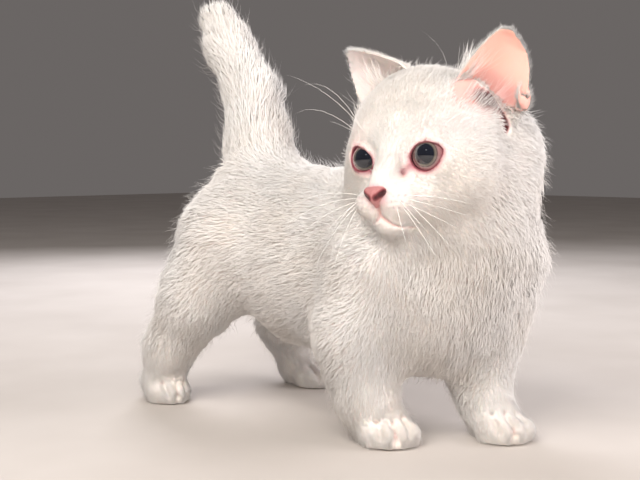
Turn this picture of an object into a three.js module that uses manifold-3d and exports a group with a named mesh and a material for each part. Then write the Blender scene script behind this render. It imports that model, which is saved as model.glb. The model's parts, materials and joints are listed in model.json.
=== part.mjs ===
// A munchkin kitten, life size: it stands on four short legs, looks to its right and holds its tail up.
// Millimetres, +Z up. The kitten faces -Y, its left side is +X, and the floor is z = 0.
// Every surface is the outside of the coat, so the flesh of the real kitten lies a few millimetres inside.

import * as THREE from "three";
import { mergeVertices } from "three/addons/utils/BufferGeometryUtils.js";
import Module from "manifold-3d";

const wasm = await Module();
wasm.setup();

// Driving dimensions of the kitten.
const BACK_HEIGHT = 135; // top of the coat along the back
const BODY_WIDTH = 88; // across the ribs
const BELLY_CLEARANCE = 31; // floor to the lowest part of the belly
const CHEST_CLEARANCE = 27; // floor to the breastbone
const HEAD_WIDTH = 80; // across the cheeks
const EYE_SPAN = 32.4; // between the pupils
const EYE_FORWARD = 20.8; // of the eyeballs, in front of the middle of the head
const EYE_RADIUS = 8.6; // of the eyeball
const EYE_OPENING = [15, 13.6]; // between the lids, across and down
const LID_THICKNESS = 1;
const NOSE_WIDTH = 11; // of the bare leather
const NOSE_FORWARD = 43; // of the leather, in front of the middle of the head
const EAR_THICKNESS = 2.2;
const EAR_SET_BACK = 2.8; // of the ears, behind the middle of the head
const TAIL_TOP = 225; // floor to the tip of the raised tail
const FORE_PAW_WIDTH = 32;
const HIND_PAW_WIDTH = 27;
const GAP = 0.3; // between nodes that touch

// Headings are turns about +Z in degrees: 0 faces -Y, and a negative heading faces the kitten's right.
const HEAD_HEADING = -81;
const HEAD_ROLL = 3.5; // left side of the head raised
const CHEST_HEADING = -25;
const HIP_HEADING = -6;

// Where the limbs stand on the floor: the middle of each paw.
const FORE_RIGHT = [-24, -60];
const FORE_LEFT = [21, -93];
const HIND_RIGHT = [-42, 91];
const HIND_LEFT = [43, 63];

const HEAD_PLACE = [-13, -73, BACK_HEIGHT + 0.3]; // on the head's middle plane, at the height of the eyes

const radians = THREE.MathUtils.degToRad;

// Distance functions. Each returns the rough distance from (x, y, z) to its surface, negative inside.

// An egg: an ellipsoid whose long axes may be turned about +Z.
function egg(centre, radii, heading = 0) {
  const [cx, cy, cz] = centre;
  const [rx, ry, rz] = radii;
  const c = Math.cos(radians(heading));
  const s = Math.sin(radians(heading));
  return (x, y, z) => {
    const dx = x - cx;
    const dy = y - cy;
    const u = (dx * c + dy * s) / rx;
    const v = (-dx * s + dy * c) / ry;
    const w = (z - cz) / rz;
    const scaled = Math.hypot(u, v, w);
    const slope = Math.hypot(u / rx, v / ry, w / rz);
    return slope < 1e-9 ? -Math.min(rx, ry, rz) : (scaled * (scaled - 1)) / slope;
  };
}

// A limb: a round bar between two points, with a radius at each end.
function limb(from, to, radiusFrom, radiusTo) {
  const [ax, ay, az] = from;
  const [bx, by, bz] = [to[0] - ax, to[1] - ay, to[2] - az];
  const lengthSquared = bx * bx + by * by + bz * bz;
  return (x, y, z) => {
    const px = x - ax;
    const py = y - ay;
    const pz = z - az;
    const t = Math.min(1, Math.max(0, (px * bx + py * by + pz * bz) / lengthSquared));
    return Math.hypot(px - bx * t, py - by * t, pz - bz * t) - radiusFrom - (radiusTo - radiusFrom) * t;
  };
}

// Two distances joined with a fillet about as wide as blend.
function fused(a, b, blend) {
  const h = Math.max(blend - Math.abs(a - b), 0) / blend;
  return Math.min(a, b) - (h * h * blend) / 4;
}

// The first distance with the second carved out of it, the edge eased over blend.
function carved(a, b, blend) {
  return -fused(-a, b, blend);
}

// Forms fused one after another, each with its own blend.
function flesh(forms) {
  return (x, y, z) => {
    let d = 1e3;
    for (const [form, blend] of forms) d = fused(d, form(x, y, z), blend);
    return d;
  };
}

// The head's own frame: x to its left, -y to its nose, z up, with the origin between the eyes and the nape.
const headFrame = new THREE.Matrix4()
  .makeTranslation(...HEAD_PLACE)
  .multiply(new THREE.Matrix4().makeRotationZ(radians(HEAD_HEADING)))
  .multiply(new THREE.Matrix4().makeRotationY(radians(-HEAD_ROLL)));

function inHeadFrame(field) {
  const e = headFrame.clone().invert().elements;
  return (x, y, z) =>
    field(
      e[0] * x + e[4] * y + e[8] * z + e[12],
      e[1] * x + e[5] * y + e[9] * z + e[13],
      e[2] * x + e[6] * y + e[10] * z + e[14],
    );
}

// The trunk, in four eggs from the rump to the breast.
const halfBody = BODY_WIDTH / 2;
const bellyHalf = (BACK_HEIGHT - 1 - BELLY_CLEARANCE) / 2;
const chestHalf = (BACK_HEIGHT - 1 - CHEST_CLEARANCE) / 2;
const trunkForms = [
  [egg([3, 50, 93], [halfBody - 4, 35, 41], HIP_HEADING), 15],
  [egg([1, 14, BELLY_CLEARANCE + bellyHalf], [halfBody - 1, 46, bellyHalf - 1], -8), 15],
  [egg([1, -26, CHEST_CLEARANCE + chestHalf], [halfBody, 44, chestHalf - 1], -14), 15],
  [egg([5, -66, CHEST_CLEARANCE + chestHalf - 4], [halfBody, 38, chestHalf - 4], CHEST_HEADING), 15],
];

// The thick neck leans to the kitten's left, because the head is turned to its right.
const neckForms = [[limb([11.5, -72, 103], [22, -78, 133], 42, 34), 14]];

// The head in its own frame: skull, ear mounds, cheeks, jaw, brow, cheekbones, bridge of the nose, pads, chin.
const halfHead = HEAD_WIDTH / 2;
const eyeSide = EYE_SPAN / 2;
const eyeCentre = (s) => [s * (eyeSide - 0.2), -EYE_FORWARD, 0];
const bothSides = (make) => [make(-1), make(1)];
const headForms = [
  [egg([0, 5, 7.5], [halfHead - 2, 34.5, 36]), 10],
  ...bothSides((s) => [egg([s * 27, 9 + EAR_SET_BACK / 2, 22], [13, 14, 12]), 10]),
  ...bothSides((s) => [egg([s * 19, -4, -12], [halfHead - 19, 20, 18]), 12]),
  [egg([0, -11, -21], [22, 22, 15]), 10],
  ...bothSides((s) => [egg([s * 14, -18.5, 10.5], [11, 9.5, 7.5]), 8]),
  ...bothSides((s) => [egg([s * 22.5, -13.5, 0], [9.5, 11.5, 12]), 6]),
  [limb([0, -22, 5], [0, 5.7 - NOSE_FORWARD, -11.5], 8.5, 6.4), 7],
  ...bothSides((s) => [egg([s * 7.4, 9.8 - NOSE_FORWARD, -20.5], [9, 10, 8]), 5]),
  [egg([0, 12.8 - NOSE_FORWARD, -30], [8.5, 9, 7]), 4],
];
const headSolid = flesh(headForms);
const basins = bothSides((s) => egg([s * (eyeSide - 0.4), -EYE_FORWARD - 9, -0.5], [9, 7, 8.2]));
const headField = (x, y, z) =>
  basins.reduce((d, basin) => carved(d, basin(x, y, z), 3), headSolid(x, y, z));

// Legs: points down each limb with the radius of the coat there.
const legs = {
  fore_right: { paw: FORE_RIGHT, heading: -33, width: FORE_PAW_WIDTH, front: true, joints: [
    [[-28, -56, 84], 25], [[-34, -48, 52], 19.5], [[-29, -51, 22], 14.5], [[-26, -54, 12], 13]] },
  fore_left: { paw: FORE_LEFT, heading: -30, width: FORE_PAW_WIDTH, front: true, joints: [
    [[37, -82, 86], 25], [[33, -77, 52], 19], [[24.5, -79.5, 22], 13.5], [[21.5, -85, 12], 12.5]] },
  hind_right: { paw: HIND_RIGHT, heading: -12, width: HIND_PAW_WIDTH, front: false, joints: [
    [[-25, 54, 90], 31], [[-36, 66, 60], 22], [[-42, 85, 31], 14], [[-42, 91, 14], 12]] },
  hind_left: { paw: HIND_LEFT, heading: 0, width: HIND_PAW_WIDTH, front: false, joints: [
    [[30, 50, 90], 31], [[42, 53, 60], 23], [[43, 87, 36], 13.5], [[43, 73, 14], 12]] },
};

// A paw: a pad with four toes in an arc. Everything below the floor is cut off, which leaves a flat sole.
function pawForms({ paw, heading, width, front }) {
  const toe = width / 5.6;
  const length = front ? 15 : 18;
  const [c, s] = [Math.cos(radians(heading)), Math.sin(radians(heading))];
  const at = (side, forward, z) => [paw[0] + side * c + forward * s, paw[1] + side * s - forward * c, z];
  const forms = [[egg(at(0, -2, 8), [width * 0.42, length, 9], heading), 6]];
  const toes = [[-1.5, 8, 0.95], [-0.55, 12, 1.05], [0.55, 12, 1.05], [1.5, 8, 0.95]];
  for (const [place, forward, size] of toes) {
    const splay = heading - place * 9;
    forms.push([egg(at(place * toe * 1.22, forward, 5.5), [toe * size, 9, 6.8 * size], splay), 1.6]);
  }
  return forms;
}

const legForms = Object.values(legs).flatMap((leg) => {
  const bars = leg.joints.slice(1).map(([point, radius], i) => {
    const [above, radiusAbove] = leg.joints[i];
    return [limb(above, point, radiusAbove, radius), 12];
  });
  return [...bars, ...pawForms(leg)];
});

// The tail: points from the root to the tip with the radius of the coat.
const tailPoints = [
  [[3, 58, 118], 22],
  [[3, 61, 146], 19.8],
  [[2.5, 65, 170], 17.4],
  [[-1, 80, 198], 15.6],
  [[-2.5, 88, TAIL_TOP - 12.5], 12.2],
];
const tailForms = tailPoints.slice(1).map(([point, radius], i) => {
  const [below, radiusBelow] = tailPoints[i];
  return [limb(below, point, radiusBelow, radius), i ? 6 : 22];
});

const bodyForms = [...trunkForms, ...neckForms, ...legForms, ...tailForms];
const bodyField = flesh([...bodyForms, [inHeadFrame(headField), 7]]);

// The surface of a field inside a box, as a closed mesh: each grid cell is split into six tetrahedra.
const CORNERS = [[0, 0, 0], [1, 0, 0], [0, 1, 0], [1, 1, 0], [0, 0, 1], [1, 0, 1], [0, 1, 1], [1, 1, 1]];
const TETRAHEDRA = [[0, 1, 3, 7], [0, 3, 2, 7], [0, 2, 6, 7], [0, 6, 4, 7], [0, 4, 5, 7], [0, 5, 1, 7]];

const FIELD_BLOCK = 4; // grid points a side that are filled at once where the surface is far

function polygonize(field, low, high, step) {
  const count = low.map((v, i) => Math.ceil((high[i] - v) / step) + 1);
  const index = (i, j, k) => i + count[0] * (j + count[1] * k);
  const layer = count[0] * count[1];
  const place = (id) => [id % count[0], Math.floor(id / count[0]) % count[1], Math.floor(id / layer)];
  const values = new Float64Array(layer * count[2]);
  const far = FIELD_BLOCK * step * 1.9;
  const middle = (FIELD_BLOCK - 1) / 2;
  for (let n = 0; n < values.length; n++) {
    const [i, j, k] = place(n);
    if (i % FIELD_BLOCK || j % FIELD_BLOCK || k % FIELD_BLOCK) continue;
    const at = (a, b, c) => field(low[0] + a * step, low[1] + b * step, low[2] + c * step);
    const coarse = at(i + middle, j + middle, k + middle);
    for (let c = k; c < Math.min(k + FIELD_BLOCK, count[2]); c++)
      for (let b = j; b < Math.min(j + FIELD_BLOCK, count[1]); b++)
        for (let a = i; a < Math.min(i + FIELD_BLOCK, count[0]); a++) {
          const edge = !a || !b || !c || a === count[0] - 1 || b === count[1] - 1 || c === count[2] - 1;
          const d = Math.abs(coarse) > far ? coarse : at(a, b, c);
          values[index(a, b, c)] = edge ? Math.max(d, step / 2) : Math.abs(d) < 1e-3 ? 1e-3 : d;
        }
  }
  const points = [];
  const triangles = [];
  const crossings = new Map();
  const crossing = (a, b) => {
    const key = a < b ? a * values.length + b : b * values.length + a;
    if (!crossings.has(key)) {
      const t = values[a] / (values[a] - values[b]);
      const pa = place(a);
      const pb = place(b);
      crossings.set(key, points.length / 3);
      points.push(...low.map((v, i) => v + step * (pa[i] + (pb[i] - pa[i]) * t)));
    }
    return crossings.get(key);
  };
  const face = (a, b, c, inside, outside) => {
    const p = [a, b, c].map((v) => points.slice(v * 3, v * 3 + 3));
    const normal = new THREE.Vector3(...p[1])
      .sub(new THREE.Vector3(...p[0]))
      .cross(new THREE.Vector3(...p[2]).sub(new THREE.Vector3(...p[0])));
    const out = new THREE.Vector3(...place(outside)).sub(new THREE.Vector3(...place(inside)));
    triangles.push(...(normal.dot(out) > 0 ? [a, b, c] : [a, c, b]));
  };
  for (let k = 0; k + 1 < count[2]; k++)
    for (let j = 0; j + 1 < count[1]; j++)
      for (let i = 0; i + 1 < count[0]; i++)
        for (const tetrahedron of TETRAHEDRA) {
          const corners = tetrahedron.map((n) => CORNERS[n]);
          const ids = corners.map(([a, b, c]) => index(i + a, j + b, k + c));
          const inside = ids.filter((id) => values[id] < 0);
          const outside = ids.filter((id) => values[id] >= 0);
          if (inside.length === 1 || inside.length === 3) {
            const [one, three] = inside.length === 1 ? [inside[0], outside] : [outside[0], inside];
            const [a, b, c] = three.map((id) => crossing(one, id));
            face(a, b, c, inside[0], outside[0]);
          } else if (inside.length === 2) {
            const [p, q] = inside;
            const [r, s] = outside;
            face(crossing(p, r), crossing(p, s), crossing(q, s), p, r);
            face(crossing(p, r), crossing(q, s), crossing(q, r), p, r);
          }
        }
  return { points: Float64Array.from(points), triangles: Int32Array.from(triangles) };
}

// Thins a closed mesh to about target triangles. Each pass collapses the edges that move the surface least.
function thinned(mesh, target) {
  const { points } = mesh;
  let { triangles } = mesh;
  const vertexCount = points.length / 3;
  const edgeVector = (a, b) => [0, 1, 2].map((i) => points[b * 3 + i] - points[a * 3 + i]);
  const cross = (u, v) => [u[1] * v[2] - u[2] * v[1], u[2] * v[0] - u[0] * v[2], u[0] * v[1] - u[1] * v[0]];
  const dot = (u, v) => u[0] * v[0] + u[1] * v[1] + u[2] * v[2];
  const quadrics = new Float64Array(vertexCount * 10);
  for (let t = 0; t < triangles.length; t += 3) {
    const [a, b, c] = triangles.subarray(t, t + 3);
    const n = cross(edgeVector(a, b), edgeVector(a, c));
    const area = Math.hypot(...n) || 1e-12;
    const [x, y, z] = n.map((v) => v / area);
    const w = -(x * points[a * 3] + y * points[a * 3 + 1] + z * points[a * 3 + 2]);
    const q = [x * x, x * y, x * z, x * w, y * y, y * z, y * w, z * z, z * w, w * w];
    for (const v of [a, b, c]) for (let i = 0; i < 10; i++) quadrics[v * 10 + i] += q[i] * area;
  }
  const error = (a, b, [x, y, z]) => {
    const q = (i) => quadrics[a * 10 + i] + quadrics[b * 10 + i];
    return (
      q(0) * x * x + 2 * q(1) * x * y + 2 * q(2) * x * z + 2 * q(3) * x + q(4) * y * y +
      2 * q(5) * y * z + 2 * q(6) * y + q(7) * z * z + 2 * q(8) * z + q(9)
    );
  };
  for (let pass = 0; pass < 60 && triangles.length / 3 > target; pass++) {
    const around = Array.from({ length: vertexCount }, () => []);
    for (let t = 0; t < triangles.length; t++) around[triangles[t]].push(Math.floor(t / 3));
    const edges = [];
    for (let t = 0; t < triangles.length; t += 3)
      for (let i = 0; i < 3; i++) {
        const a = triangles[t + i];
        const b = triangles[t + ((i + 1) % 3)];
        if (a > b) continue;
        const pa = [...points.subarray(a * 3, a * 3 + 3)];
        const pb = [...points.subarray(b * 3, b * 3 + 3)];
        const middle = pa.map((v, n) => (v + pb[n]) / 2);
        const span = dot(edgeVector(a, b), edgeVector(a, b));
        const [cost, spot] = [pa, pb, middle]
          .map((p) => [error(a, b, p) + 1e-3 * span, p])
          .sort((u, v) => u[0] - v[0])[0];
        edges.push([cost, a, b, spot]);
      }
    edges.sort((u, v) => u[0] - v[0]);
    const moved = new Uint8Array(vertexCount);
    const gone = new Uint8Array(triangles.length / 3);
    let left = triangles.length / 3;
    const most = edges[Math.floor(edges.length * 0.35)][0];
    for (const [cost, a, b, spot] of edges) {
      if (left <= target || cost > most) break;
      if (moved[a] || moved[b]) continue;
      const ring = (v) => new Set(around[v].flatMap((t) => [...triangles.subarray(t * 3, t * 3 + 3)]));
      const shared = [...ring(a)].filter((v) => v !== a && v !== b && ring(b).has(v));
      if (shared.length !== 2) continue;
      const flips = [...around[a], ...around[b]].some((t) => {
        const corners = [...triangles.subarray(t * 3, t * 3 + 3)];
        if (corners.includes(a) && corners.includes(b)) return false;
        const now = corners.map((v) => [...points.subarray(v * 3, v * 3 + 3)]);
        const then = corners.map((v, i) => (v === a || v === b ? spot : now[i]));
        const normal = (p) => cross(p[1].map((v, i) => v - p[0][i]), p[2].map((v, i) => v - p[0][i]));
        const [n0, n1] = [normal(now), normal(then)];
        return dot(n0, n1) < 0.3 * Math.hypot(...n0) * Math.hypot(...n1) || Math.hypot(...n1) < 1e-6;
      });
      if (flips) continue;
      for (const v of [...ring(a), ...ring(b)]) moved[v] = 1;
      points.set(spot, a * 3);
      for (let i = 0; i < 10; i++) quadrics[a * 10 + i] += quadrics[b * 10 + i];
      for (const t of around[b]) {
        const corners = triangles.subarray(t * 3, t * 3 + 3);
        if (corners.includes(a)) {
          gone[t] = 1;
          left--;
        } else corners[corners.indexOf(b)] = a;
      }
    }
    triangles = triangles.filter((_, i) => !gone[Math.floor(i / 3)]);
  }
  return { points, triangles };
}

// Solids for joining and cutting, from a plain mesh or from a three.js geometry.
function solidFromMesh({ points, triangles }) {
  const used = new Map();
  const order = [];
  const triVerts = Uint32Array.from(triangles, (v) => {
    if (!used.has(v)) {
      used.set(v, order.length);
      order.push(v);
    }
    return used.get(v);
  });
  const vertProperties = Float32Array.from(order.flatMap((v) => [...points.subarray(v * 3, v * 3 + 3)]));
  return new wasm.Manifold(new wasm.Mesh({ numProp: 3, vertProperties, triVerts }));
}

function solidFromGeometry(geometry, matrix = new THREE.Matrix4()) {
  const bare = (geometry.index ? geometry.toNonIndexed() : geometry.clone()).applyMatrix4(matrix);
  for (const name of Object.keys(bare.attributes)) if (name !== "position") bare.deleteAttribute(name);
  const merged = mergeVertices(bare, 1e-4);
  return solidFromMesh({ points: merged.attributes.position.array, triangles: merged.index.array });
}

function geometryFromSolid(solid) {
  const { vertProperties, numProp, triVerts } = solid.getMesh();
  const position = new Float32Array((vertProperties.length / numProp) * 3);
  for (let i = 0; i * 3 < position.length; i++)
    position.set(vertProperties.subarray(i * numProp, i * numProp + 3), i * 3);
  const geometry = new THREE.BufferGeometry();
  geometry.setAttribute("position", new THREE.BufferAttribute(position, 3));
  geometry.setIndex(new THREE.BufferAttribute(Uint32Array.from(triVerts), 1));
  geometry.computeVertexNormals();
  return geometry;
}

// The largest closed body of a solid, without the scraps that a cut may leave.
const largest = (solid) => solid.decompose().sort((a, b) => b.volume() - a.volume())[0];

// A cutting block: a box of the given size round a place, turned by degrees about x, y and then z.
function block(size, place, turn = [0, 0, 0], frame = new THREE.Matrix4()) {
  const euler = new THREE.Euler(...turn.map(radians), "ZYX");
  const matrix = frame
    .clone()
    .multiply(new THREE.Matrix4().makeTranslation(...place))
    .multiply(new THREE.Matrix4().makeRotationFromEuler(euler));
  return (grow = 0) => solidFromGeometry(new THREE.BoxGeometry(...size.map((v) => v + 2 * grow)), matrix);
}

// Materials of the kitten's surfaces.
const finish = (color, roughness) => new THREE.MeshStandardMaterial({ color, roughness, metalness: 0 });
const materials = {
  coat: finish(0xf6f0ea, 0.85),
  ear: finish(0xf2d9d0, 0.75),
  lid: finish(0xd9a3a2, 0.5),
  leather: finish(0xdb8f8a, 0.45),
  eye: finish(0x1c2024, 0.05),
};

const kitten = new THREE.Group();
function add(name, solid, material) {
  const mesh = new THREE.Mesh(geometryFromSolid(largest(solid)), materials[material]);
  mesh.name = name;
  kitten.add(mesh);
}

// A cutting ball: a sphere scaled to the given radii, in a frame of its own.
function ball(place, radii, frame = new THREE.Matrix4(), segments = 22) {
  const matrix = frame.clone().multiply(new THREE.Matrix4().makeTranslation(...place));
  return (grow = 0) => {
    const scaled = matrix.clone().multiply(new THREE.Matrix4().makeScale(...radii.map((v) => v + grow)));
    return solidFromGeometry(new THREE.SphereGeometry(1, segments, segments / 2), scaled);
  };
}
const together = (...cutters) => (grow = 0) => wasm.Manifold.union(cutters.map((cutter) => cutter(grow)));

// Cutters that part the body. Each takes its share of what the cutters before it left.
const headCutter = together(
  ball([0, 0, 3], [halfHead + 4, 41, 43], headFrame),
  ball([0, -20, -13], [30, 30, 27.5], headFrame),
);
const neckCutter = ball([18, -77, 126], [48, 46, 38]);
const tailCutter = block([80, 90, 120], [3, 75, 137 + 60]);
const tailMiddle = block([80, 90, 120], [3, 75, 167 + 60], [-10, 0, 0]);
const tailEnd = block([80, 90, 120], [3, 80, 196 + 60], [-20, 0, 0]);
const legCutters = {
  fore_right: ball([-47, -54, 0], [42, 46, 82]),
  fore_left: ball([45, -88, 0], [44, 46, 82]),
  hind_right: ball([-62, 80, 0], [54, 58, 106]),
  hind_left: ball([64, 74, 0], [56, 58, 106]),
};
const pawCutters = Object.fromEntries(
  Object.entries(legs).map(([name, leg]) => [
    name,
    block([60, 70, 40], [leg.paw[0], leg.paw[1], 17 - 20], [-12, 0, leg.heading]),
  ]),
);
const floorBlock = block([400, 400, 100], [0, 0, -50]);

// A piece of the body: its surface at one grid step, thinned, inside one cutter and outside others.
function piece(low, high, step, triangles, inside, outside) {
  let solid = solidFromMesh(thinned(polygonize(bodyField, low, high, step), triangles));
  if (inside) solid = solid.intersect(inside(0));
  for (const cutter of outside) solid = solid.subtract(cutter(GAP));
  return solid.subtract(floorBlock());
}

// An ear in the head's frame: a cupped sheet from an inner rim, on the crown, to an outer rim, on the cheek.
// The left ear is turned outwards and the right one forwards, so their inner rims differ.
const curveOf = (places) =>
  new THREE.CatmullRomCurve3(places.map(([x, y, z]) => new THREE.Vector3(x, y + EAR_SET_BACK, z)));
const earInnerRims = {
  left: curveOf([[16, -3, 24], [20.5, -8.5, 31.5], [29.5, -7, 43], [37, -4, 51], [41.2, -1, 54.8]]),
  right: curveOf([[5, 0, 37], [10, -3, 44.5], [21, -4, 49.5], [32, -3, 53], [41.2, -1, 55]]),
};
const earOuterRim = curveOf([[34, 20, 12], [42, 18.5, 20], [46.5, 15, 31], [48.3, 11, 44], [45.2, 2.6, 54]]);
const earBack = new THREE.Vector3(-0.64, 0.69, 0.335).normalize();
const EAR_DEPTH = 11; // of the cup at its root

function ear(side, grow = 0) {
  const across = 12;
  const up = 8;
  const innerRim = side > 0 ? earInnerRims.left : earInnerRims.right;
  const bowed = (u, v, offset) => {
    const bow = Math.pow(Math.sin(Math.PI * u), 0.75);
    const depth = EAR_DEPTH * Math.pow(1 - v, 0.6) + 1.2;
    const half = ((0.55 + 0.45 * bow) * EAR_THICKNESS * (1.25 - 0.5 * v)) / 2 + grow;
    const p = innerRim.getPoint(v).lerp(earOuterRim.getPoint(v), u);
    return p.addScaledVector(earBack, depth * bow + offset * half);
  };
  const sheet = (offset) => {
    const rows = [];
    for (let j = 0; j <= up; j++)
      for (let i = 0; i <= across; i++) {
        const [u, v] = [i / across, j / up];
        const p = bowed(u, v, offset);
        const chord = earOuterRim.getPoint(v).sub(innerRim.getPoint(v)).normalize();
        if (i === 0) p.addScaledVector(chord, -grow);
        if (i === across) p.addScaledVector(chord, grow);
        const next = j === 0 ? bowed(u, 1 / up, offset) : bowed(u, 1 - 1 / up, offset);
        if (j === 0 || j === up) p.addScaledVector(next.sub(bowed(u, v, offset)).normalize(), -grow);
        rows.push([side * p.x, p.y, p.z]);
      }
    return rows;
  };
  const points = [...sheet(1), ...sheet(-1)];
  const row = across + 1;
  const back = (i, j) => i + row * j;
  const front = (i, j) => row * (up + 1) + back(i, j);
  const triangles = [];
  const quad = (a, b, c, d) => triangles.push(...(side > 0 ? [a, b, c, a, c, d] : [a, c, b, a, d, c]));
  for (let j = 0; j < up; j++)
    for (let i = 0; i < across; i++) {
      quad(back(i, j), back(i, j + 1), back(i + 1, j + 1), back(i + 1, j));
      quad(front(i, j), front(i + 1, j), front(i + 1, j + 1), front(i, j + 1));
    }
  for (let j = 0; j < up; j++) {
    quad(back(0, j), front(0, j), front(0, j + 1), back(0, j + 1));
    quad(back(across, j), back(across, j + 1), front(across, j + 1), front(across, j));
  }
  for (let i = 0; i < across; i++) {
    quad(back(i, 0), back(i + 1, 0), front(i + 1, 0), front(i, 0));
    quad(back(i, up), front(i, up), front(i + 1, up), back(i + 1, up));
  }
  return solidFromMesh({ points: Float64Array.from(points.flat()), triangles: Int32Array.from(triangles) });
}
const inHead = (solid) => solid.transform(headFrame.elements);

// The pouch at the foot of the ear's outer rim: a small cup that opens upwards.
const pouchBack = 15.4 + EAR_SET_BACK;
const earPouchBall = (side) => ball([side * 43.4, pouchBack, 25], [3, 4, 6.5], undefined, 10);
function earPouch(side) {
  return earPouchBall(side)().subtract(ball([side * 44.2, pouchBack - 0.7, 28], [2, 2.9, 6], undefined, 10)());
}

// The room that an ear takes up in its neighbours.
const earRoom = (side, grow) => ear(side, grow).add(ear(side)).add(earPouchBall(side)(grow));
const earCutters = [-1, 1].map((side) => (grow) => inHead(earRoom(side, grow)));

// The face: eyeballs, lids with their openings, the leather of the nose and the line of the mouth.
const turnedAbout = (place, turn) =>
  new THREE.Matrix4()
    .makeTranslation(...place)
    .multiply(new THREE.Matrix4().makeRotationFromEuler(new THREE.Euler(...turn.map(radians), "ZYX")));

function eyeOpening(side) {
  const frame = turnedAbout(eyeCentre(side), [0, side * -9, side * -4]);
  const [across, down] = EYE_OPENING;
  const round = ball([0, -9, 0], [across / 2, 7, down / 2], frame, 22)();
  const corner = ball([side * -6.9, -8, -4.6], [3, 5, 2.2], frame, 12)();
  return round.add(corner);
}

const eyeBall = (side, radius) => ball(eyeCentre(side), [radius, radius, radius], undefined, 16)();

// The lids are the front of a shell round the eyeball, with the opening cut out.
function lids(side) {
  const [x, y, z] = eyeCentre(side);
  const shell = eyeBall(side, EYE_RADIUS + GAP + LID_THICKNESS).subtract(eyeBall(side, EYE_RADIUS + GAP));
  const behind = block([40, 40, 40], [x, y - 3 + 20, z])();
  return shell.subtract(behind).subtract(eyeOpening(side));
}

const noseHalf = NOSE_WIDTH / 2;
const noseField = (grow) => {
  const ahead = NOSE_FORWARD;
  const form = flesh([
    [limb([-noseHalf + 2.2, -ahead, -15], [noseHalf - 2.2, -ahead, -15], 2.2, 2.2), 1],
    [egg([0, -ahead - 0.4, -16.8], [3.4, 2.6, 3.2]), 2],
    [limb([0, -ahead - 0.2, -17.8], [0, 1 - ahead, -21.2], 2, 1.1), 1.5],
  ]);
  const nostrils = bothSides((s) => limb([s * 2.5, -ahead - 3, -17.4], [s * 4.6, -ahead - 1.6, -16], 0.85, 0.6));
  if (grow) return (x, y, z) => form(x, y, z) - grow;
  return (x, y, z) => Math.max(form(x, y, z), -Math.min(...nostrils.map((n) => n(x, y, z))));
};
const noseBox = [[-9, -NOSE_FORWARD - 8, -25], [9, -NOSE_FORWARD + 7, -8]];
const nose = (grow) => solidFromMesh(thinned(polygonize(noseField(grow), ...noseBox, 0.7), 440));

// The point of the face straight ahead of (x, z), found by halving.
function faceAt(x, z) {
  let [outside, inside] = [-60, -15];
  for (let i = 0; i < 24; i++) {
    const middle = (outside + inside) / 2;
    if (headField(x, middle, z) > 0) outside = middle;
    else inside = middle;
  }
  return new THREE.Vector3(x, inside, z);
}

// The philtrum and the lips meet in one groove along the face.
function mouthGroove() {
  const lines = [
    [[0, -21], [0, -23.5], [0, -25.8]],
    ...bothSides((s) => [[0, -25.6], [s * 2.5, -27.8], [s * 5.5, -29.6], [s * 9.5, -31], [s * 14, -31.4]]),
  ];
  const bars = lines.flatMap((line) => {
    const points = line.map(([x, z]) => faceAt(x, z).toArray());
    return points.slice(1).map((point, i) => [limb(points[i], point, 0.85, 0.85), 0.1]);
  });
  return solidFromMesh(thinned(polygonize(flesh(bars), [-17, -50, -34], [17, -20, -17], 0.7), 300));
}

const bodyCutters = [...earCutters, headCutter, neckCutter, tailCutter, ...Object.values(legCutters)];
const aboveNeck = [headCutter, ...earCutters];
add("torso", piece([-60, -120, 15], [75, 110, 150], 4, 2450, null, bodyCutters), "coat");
add("neck", piece([-50, -125, 80], [75, -15, 175], 3.4, 1100, neckCutter, aboveNeck), "coat");
add("tail_base", piece([-30, 30, 130], [35, 110, 178], 3, 420, tailCutter, [tailMiddle]), "coat");
add("tail_middle", piece([-30, 35, 155], [35, 115, 212], 3, 420, tailMiddle, [tailEnd]), "coat");
add("tail_tip", piece([-30, 45, 180], [35, 120, 235], 3, 420, tailEnd, []), "coat");
for (const [name, leg] of Object.entries(legs)) {
  const [x, y] = leg.paw;
  const low = leg.front ? [x - 45, y - 42, -6] : [x - 48, y - 66, -6];
  const high = leg.front ? [x + 45, y + 52, 90] : [x + 48, y + 44, 112];
  const pawBox = [[x - 30, y - 36, -6], [x + 30, y + 32, 32]];
  const others = [pawCutters[name], headCutter, neckCutter];
  add(name, piece(low, high, 3.2, 1100, legCutters[name], others), "coat");
  add(`${name}_paw`, piece(...pawBox, 1.8, 640, pawCutters[name], []), "coat");
}

const headLow = [HEAD_PLACE[0] - 58, HEAD_PLACE[1] - 56, HEAD_PLACE[2] - 46];
const headHigh = [HEAD_PLACE[0] + 58, HEAD_PLACE[1] + 56, HEAD_PLACE[2] + 50];
let head = piece(headLow, headHigh, 2, 3500, headCutter, []);
const faceCutters = [nose(GAP), mouthGroove()];
for (const s of [-1, 1]) {
  faceCutters.push(eyeBall(s, EYE_RADIUS + LID_THICKNESS + GAP * 2));
  faceCutters.push(earRoom(s, GAP));
  faceCutters.push(ball([s * 34, 6 + EAR_SET_BACK, 19], [4.5, 5, 6], undefined, 14)());
}
for (const cutter of faceCutters) head = head.subtract(inHead(cutter));
add("head", head, "coat");
add("nose", inHead(nose(0)), "leather");
for (const [s, name] of [[-1, "right"], [1, "left"]]) {
  add(`ear_${name}`, inHead(ear(s).add(earPouch(s))), "ear");
  add(`eye_${name}`, inHead(eyeBall(s, EYE_RADIUS)), "eye");
  add(`lids_${name}`, inHead(lids(s)), "lid");
}

// The origin is the middle of the floor under the kitten.
const bounds = new THREE.Box3().setFromObject(kitten);
const middle = bounds.getCenter(new THREE.Vector3());
for (const mesh of kitten.children) mesh.geometry.translate(-middle.x, -middle.y, -bounds.min.z);

export default kitten;
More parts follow.
